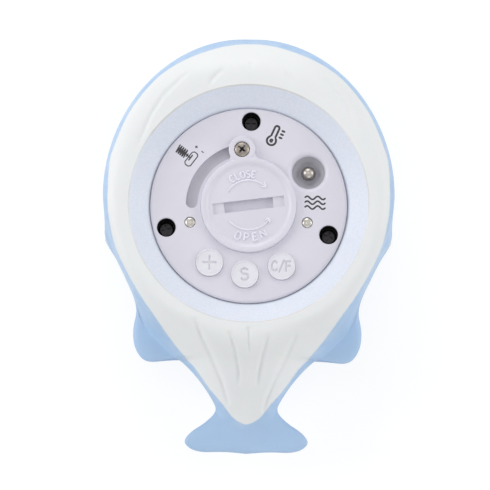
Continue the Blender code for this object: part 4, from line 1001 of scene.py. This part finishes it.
def build_keys(sizes, colours):
    """Silicone keys: a turned cap with a rounded rim, its top pressed in along the strokes of the legend.

    How deep a point lies is a soft step of its distance from the nearest stroke.
    """
    key_top = heights("key_plus")[1]
    # The silicone is greyer down in the engraved legends: painted shade
    silicone = soft_rubber("key_silicone", colours.key, 0.5, (key_top - 0.22, key_top - 0.42))
    share = np.linspace(0, 1, 9)[1:]
    turn = share * math.pi / 2
    for name, text, height, width, gap in KEY_LEGENDS:
        bottom, top = heights(name)
        centre = middle_of(name)
        low = top - KEY_RIM_RISE
        inner = np.column_stack([np.linspace(0, KEY_TOP_RADIUS, 70), np.full(70, low)])
        climb = low + KEY_RIM_RISE * (3 * share**2 - 2 * share**3)
        rise = np.column_stack([KEY_TOP_RADIUS + 0.14 * share, climb])
        across = KEY_RIM_RADIUS + (KEY_RADIUS - KEY_RIM_RADIUS) * np.sin(turn)
        bend = np.column_stack([across, top - 0.25 * (1 - np.cos(turn))])
        flange = [(KEY_RADIUS, FACE_Z - 2.7), (KEY_FLANGE, FACE_Z - 2.7), (KEY_FLANGE, FACE_Z - 3.5)]
        stem = [(1.5, FACE_Z - 3.5), (1.5, bottom), (0, bottom)]
        points, faces = turned(np.vstack([inner, rise, bend, flange, stem]), 240, centre)
        on_top = (points[:, 2] > top - 0.5) & (np.hypot(*(points[:, :2] - centre).T) < KEY_TOP_RADIUS + 0.01)
        pressed = np.zeros(len(points))
        for line in legend_lines(text, centre, height, width, gap):
            away, _ = nearest(points[:, :2], line)
            pressed = np.maximum(pressed, 1 / (1 + np.exp((away - LEGEND_STROKE) / LEGEND_EDGE)))
        points[:, 2] -= np.where(on_top, pressed * sizes.legend_depth / MM, 0)
        key = mesh_piece(name.replace("key_", "soft_key_"), points, faces, name, silicone)
        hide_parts(name)


def build_door_screw():
    """The captive screw in the lug: a turned head, domed as a part of a ball, with a cross recess."""
    bottom, top = heights("door_screw")
    place = middle_of("door_screw")
    turn = np.radians(np.linspace(0, HEAD_ARC, 14))
    across = HEAD_RADIUS * np.sin(turn) / math.sin(math.radians(HEAD_ARC))
    crown = np.column_stack([across, top - HEAD_RISE * (1 - np.cos(turn))])
    side = rounded([(HEAD_RADIUS, top - 0.52), (HEAD_RADIUS, top - 0.95), (0.75, top - 0.95)], 0.1, 3)
    profile = np.vstack([crown, side, [(0.75, bottom), (0, bottom)]])
    # The cross recess and the head's sides down in the lug are darkened: painted shade
    look = metal("screw_steel", (0.30, 0.26, 0.225), 0.34, painted_shade_below=top - 0.56)
    screw = mesh_piece("lug_screw", *turned(profile, 96, place), "door", look)
    half = np.array([(-1, -0.6), (-0.75, -1), (0.75, -1), (1, -0.6)]) / 2
    corners = np.vstack([half, -half]) * (CROSS_LENGTH, CROSS_WIDTH)
    cross = []
    for angle in (45, 135):
        (outline,) = tilted([corners], place, CLOSED_ANGLE + angle)
        cross.append(box_between(outline, top - CROSS_DEPTH, top + 1))
    combine(screw, cross, "DIFFERENCE")
    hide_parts("door_screw")


def build_sensors():
    """The probe cap and the two water contacts: turned pieces with tops that are parts of an ellipse."""
    bottom, top = heights("temperature_probe")
    turn = np.radians(np.linspace(0, 90, 20))
    ball = np.column_stack([PROBE_RADIUS * np.sin(turn), top - PROBE_DOME * (1 - np.cos(turn))])
    neck = [(PROBE_RADIUS, FACE_Z - 3.2), (1.45, FACE_Z - 3.2), (1.45, bottom), (0, bottom)]
    points, faces = turned(np.vstack([ball, neck]), 96, middle_of("temperature_probe"))
    probe = mesh_piece("probe_cap", points, faces, "whale", metal("sensor_steel", (0.42, 0.385, 0.35), 0.27))
    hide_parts("temperature_probe")
    bright = metal("contact_steel", (0.50, 0.47, 0.43), 0.28)
    share = np.linspace(0, 1, 14)
    for name in WATER_CONTACTS:
        bottom, top = heights(name)
        drop = CONTACT_DOME * (1 - np.sqrt(1 - (0.92 * share) ** 2))
        crown = np.column_stack([CONTACT_RADIUS * share, top - drop])
        stem = [(1.44, FACE_Z - 0.7), (0.94, FACE_Z - 0.75), (0.94, bottom), (0, bottom)]
        points, faces = turned(np.vstack([crown, stem]), 64, middle_of(name))
        pin = mesh_piece(name.replace("water_contact", "contact_pin"), points, faces, "whale", bright)
        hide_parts(name)


def printed(name, lines, width, colours):
    """Marks printed on the module's face: thin flat strokes of ink."""
    ink = bpy.data.materials.get("printed_ink") or soft_rubber("printed_ink", colours.ink, 0.5)
    shapes = [ribbon(line, width, 0.018, FACE_Z + 0.004) for line in lines]
    mark = mesh_piece(name, *several(shapes), "whale", ink)


def build_prints(colours):
    """Plain printed signs: a spring and a cell with plus and minus, a thermometer and a wave."""
    coil = [(-3.5 + 0.32 * step, 1.25 - 2.5 * (step % 2)) for step in range(10)]
    bars = [[(-0.25, -0.6), (-0.25, 0.6)], [(0.95, -0.95), (0.95, 1.05)], [(-0.6, 0), (0.9, 0)]]
    cell = [(0.4, 1.5), (0.4, -1.8), (0.9, -2.3), (1.8, -2.3), (2.3, -1.8), (2.3, 1.5), (1.8, 2.0), (0.9, 2.0)]
    place = at_angle(21.9, 141.0)
    printed("cell_sign", tilted([[*cell, cell[0]]], place, -37), 0.32, colours)
    printed("spring_sign", tilted([coil, *bars], place, -37), 0.42, colours)
    signs = tilted(legend_lines("+", (0, 0), 0.95, 0.95, 0), at_angle(21.9, 132.0), -37)
    signs += tilted(legend_lines("-", (0, 0), 0.85, 0.85, 0), at_angle(19.7, 131.0), -37)
    printed("polarity_signs", signs, 0.26, colours)
    bulb, dot = oval(120, 420, (0.0, -1.75), (1.25, 1.25), 40), oval(0, 360, (0.0, -1.75), (0.3, 0.3), 20)
    tube = [(0.62, -0.7), (0.62, 2.2), (0.35, 2.65), (-0.35, 2.65), (-0.62, 2.2), (-0.62, -0.7)]
    ticks = [[(1.4, height), (2.5, height)] for height in (2.0, 1.0, 0.0)]
    printed("thermometer_sign", tilted([bulb, tube, dot, *ticks], at_angle(21.0, 71.0), -24), 0.62, colours)
    share = np.linspace(-1, 1, 40)
    wave = np.column_stack([share * 2.9, 0.45 * np.sin(share * 2 * math.pi)])
    waves = [wave + (0, level) for level in (-1.35, 0.0, 1.35)]
    printed("wave_sign", tilted(waves, at_angle(18.4, 3.0), 0), 0.5, colours)


def finish_nodes(colours):
    """Finishes for the CAD nodes that stay."""
    looks = (
        (moulded("bezel_plastic", colours.shell, 0.4), "module_housing"),
        (clear_window(), "display_lens"),
        (display_film(), "lcd_panel"),
        (soft_rubber("seal_rubber", (0.03, 0.03, 0.03)), "housing_seal", "door_seal"),
        (soft_rubber("connector_rubber", (0.55, 0.25, 0.30)), "connector_strip_head", "connector_strip_tail"),
        (board_lacquer(), "display_board", "key_board"),
        (moulded("ribbon_film", (0.55, 0.30, 0.06), 0.35), "board_ribbon"),
        (
            metal("switch_metal", (0.55, 0.55, 0.56), 0.35),
            *("key_switch_plus", "key_switch_set", "key_switch_unit"),
        ),
        (metal("cell_can", (0.66, 0.66, 0.67), 0.25), "battery_cell_upper", "battery_cell_lower"),
        (metal("spring_steel", (0.62, 0.60, 0.57), 0.25), "battery_spring", "door_contact"),
        (metal("black_screw", (0.06, 0.055, 0.06), 0.45), *COVER_SCREWS),
    )
    for look, *names in looks:
        for name in names:
            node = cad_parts[name]
            node.data.materials.clear()
            node.data.materials.append(look)


def seen_or_lit(tree, lit, seen):
    """A strength that is one value for light and another where the camera, a reflection or glass shows it."""
    path = tree.nodes.new("ShaderNodeLightPath")
    shown = path.outputs["Is Camera Ray"]
    for ray in ("Is Glossy Ray", "Is Transmission Ray"):
        either = tree.nodes.new("ShaderNodeMath")
        either.operation = "MAXIMUM"
        tree.links.new(shown, either.inputs[0])
        tree.links.new(path.outputs[ray], either.inputs[1])
        shown = either.outputs[0]
    strength = tree.nodes.new("ShaderNodeMath")
    strength.operation = "MULTIPLY_ADD"
    strength.inputs[1].default_value = seen - lit
    strength.inputs[2].default_value = lit
    tree.links.new(shown, strength.inputs[0])
    return strength.outputs[0]


def build_stage():
    """White floor, soft lamps and the camera over the belly, a little from the tail side."""
    scene = bpy.context.scene
    scene.view_settings.view_transform = "Standard"
    look = bpy.data.materials.new("white_floor")
    look.use_nodes = True
    tree = look.node_tree
    shader = tree.nodes["Principled BSDF"]
    shader.inputs["Base Color"].default_value = (0.30, 0.30, 0.30, 1)
    shader.inputs["Roughness"].default_value = 0.9
    shader.inputs["Specular IOR Level"].default_value = 0.0
    shader.inputs["Emission Color"].default_value = (1, 1, 1, 1)
    tree.links.new(seen_or_lit(tree, FLOOR_LIGHT, FLOOR_SEEN), shader.inputs["Emission Strength"])
    corners = [(x * FLOOR_HALF, y * FLOOR_HALF, -FLOOR_DROP) for x, y in ((-1, -1), (1, -1), (1, 1), (-1, 1))]
    floor = mesh_piece("floor", corners, [(0, 1, 2, 3)], None, look)
    world = bpy.data.worlds.new("studio")
    world.use_nodes = True
    scene.world = world
    tree = world.node_tree
    back = tree.nodes["Background"]
    back.inputs["Color"].default_value = (0.96, 0.98, 1.0, 1)
    tree.links.new(seen_or_lit(tree, WORLD_LIGHT, WORLD_SEEN), back.inputs["Strength"])
    for row in LAMPS:
        lamp(*row)
    data = bpy.data.cameras.new("camera")
    camera = bpy.data.objects.new("camera", data)
    scene.collection.objects.link(camera)
    scene.camera = camera
    data.lens = LENS
    data.sensor_width = SENSOR
    data.clip_start = 0.01
    tilt = math.radians(TILT)
    aim = Vector(AIM)
    camera.location = aim + Vector((0, -math.cos(tilt), math.sin(tilt))) * (VIEW_WIDTH * LENS / SENSOR)
    face = (aim - camera.location).to_track_quat("-Z", "Y").to_matrix().to_4x4()
    roll = Matrix.Rotation(math.radians(ROLL), 4, "Z")
    camera.matrix_world = Matrix.Translation(camera.location) @ face @ roll


def lamp(name, place, size, power, colour):
    """A square soft lamp aimed at the whale."""
    data = bpy.data.lights.new(name, "AREA")
    data.shape = "SQUARE"
    data.size = size
    data.energy = power
    data.color = colour
    made = bpy.data.objects.new(name, data)
    bpy.context.scene.collection.objects.link(made)
    made.location = place
    aim = Vector((0, 0, 0.02)) - Vector(place)
    made.rotation_euler = aim.to_track_quat("-Z", "Y").to_euler()


# Operators and panel


class OBJECT_OT_whale_skin(bpy.types.Operator):
    """Build the painted vinyl skin"""

    bl_idname = "object.whale_skin"
    bl_label = "Whale skin"

    def execute(self, context):
        build_skin(context.scene.whale_sizes, context.scene.whale_colours)
        return {"FINISHED"}


class OBJECT_OT_module_plate(bpy.types.Operator):
    """Build the round face of the module"""

    bl_idname = "object.module_plate"
    bl_label = "Module plate"

    def execute(self, context):
        build_plate(context.scene.whale_colours)
        return {"FINISHED"}


class OBJECT_OT_coin_door(bpy.types.Operator):
    """Build the battery door with its raised marks and its screw"""

    bl_idname = "object.coin_door"
    bl_label = "Battery door"

    def execute(self, context):
        sizes, colours = context.scene.whale_sizes, context.scene.whale_colours
        build_door(colours)
        build_door_marks(sizes, colours)
        build_door_screw()
        return {"FINISHED"}


class OBJECT_OT_soft_keys(bpy.types.Operator):
    """Build the three silicone keys"""

    bl_idname = "object.soft_keys"
    bl_label = "Keys"

    def execute(self, context):
        build_keys(context.scene.whale_sizes, context.scene.whale_colours)
        return {"FINISHED"}


class OBJECT_OT_water_sensors(bpy.types.Operator):
    """Build the probe cap and the water contacts"""

    bl_idname = "object.water_sensors"
    bl_label = "Sensors"

    def execute(self, context):
        build_sensors()
        return {"FINISHED"}


class OBJECT_OT_printed_signs(bpy.types.Operator):
    """Print the plain signs on the module's face"""

    bl_idname = "object.printed_signs"
    bl_label = "Printed signs"

    def execute(self, context):
        build_prints(context.scene.whale_colours)
        return {"FINISHED"}


class OBJECT_OT_inner_finishes(bpy.types.Operator):
    """Give the housing, display, boards, cells and cover screws their finishes"""

    bl_idname = "object.inner_finishes"
    bl_label = "Housing and inner finishes"

    def execute(self, context):
        finish_nodes(context.scene.whale_colours)
        return {"FINISHED"}


class OBJECT_OT_bath_stage(bpy.types.Operator):
    """Set up the floor, lamps and camera"""

    bl_idname = "object.bath_stage"
    bl_label = "Stage"

    def execute(self, context):
        build_stage()
        return {"FINISHED"}


OPERATORS = (
    OBJECT_OT_whale_skin,
    OBJECT_OT_module_plate,
    OBJECT_OT_coin_door,
    OBJECT_OT_soft_keys,
    OBJECT_OT_water_sensors,
    OBJECT_OT_printed_signs,
    OBJECT_OT_inner_finishes,
    OBJECT_OT_bath_stage,
)


class VIEW3D_PT_bath_whale(bpy.types.Panel):
    """Sizes, colours and steps of the bath whale"""

    bl_idname = "VIEW3D_PT_bath_whale"
    bl_label = "Bath whale"
    bl_space_type = "VIEW_3D"
    bl_region_type = "UI"
    bl_category = "Bath whale"

    def draw(self, context):
        for group in (context.scene.whale_sizes, context.scene.whale_colours):
            for name in type(group).__annotations__:
                self.layout.prop(group, name)
        for operator in OPERATORS:
            self.layout.operator(operator.bl_idname)


CLASSES = (WhaleSizes, WhaleColours, *OPERATORS, VIEW3D_PT_bath_whale)


def register():
    for made in CLASSES:
        bpy.utils.register_class(made)
    bpy.types.Scene.whale_sizes = PointerProperty(type=WhaleSizes)
    bpy.types.Scene.whale_colours = PointerProperty(type=WhaleColours)


def unregister():
    del bpy.types.Scene.whale_colours
    del bpy.types.Scene.whale_sizes
    for made in reversed(CLASSES):
        bpy.utils.unregister_class(made)


def main():
    register()
    bpy.ops.object.bath_stage()
    bpy.ops.object.whale_skin()
    bpy.ops.object.module_plate()
    bpy.ops.object.coin_door()
    bpy.ops.object.soft_keys()
    bpy.ops.object.water_sensors()
    bpy.ops.object.printed_signs()
    bpy.ops.object.inner_finishes()


if __name__ == "__main__":
    main()
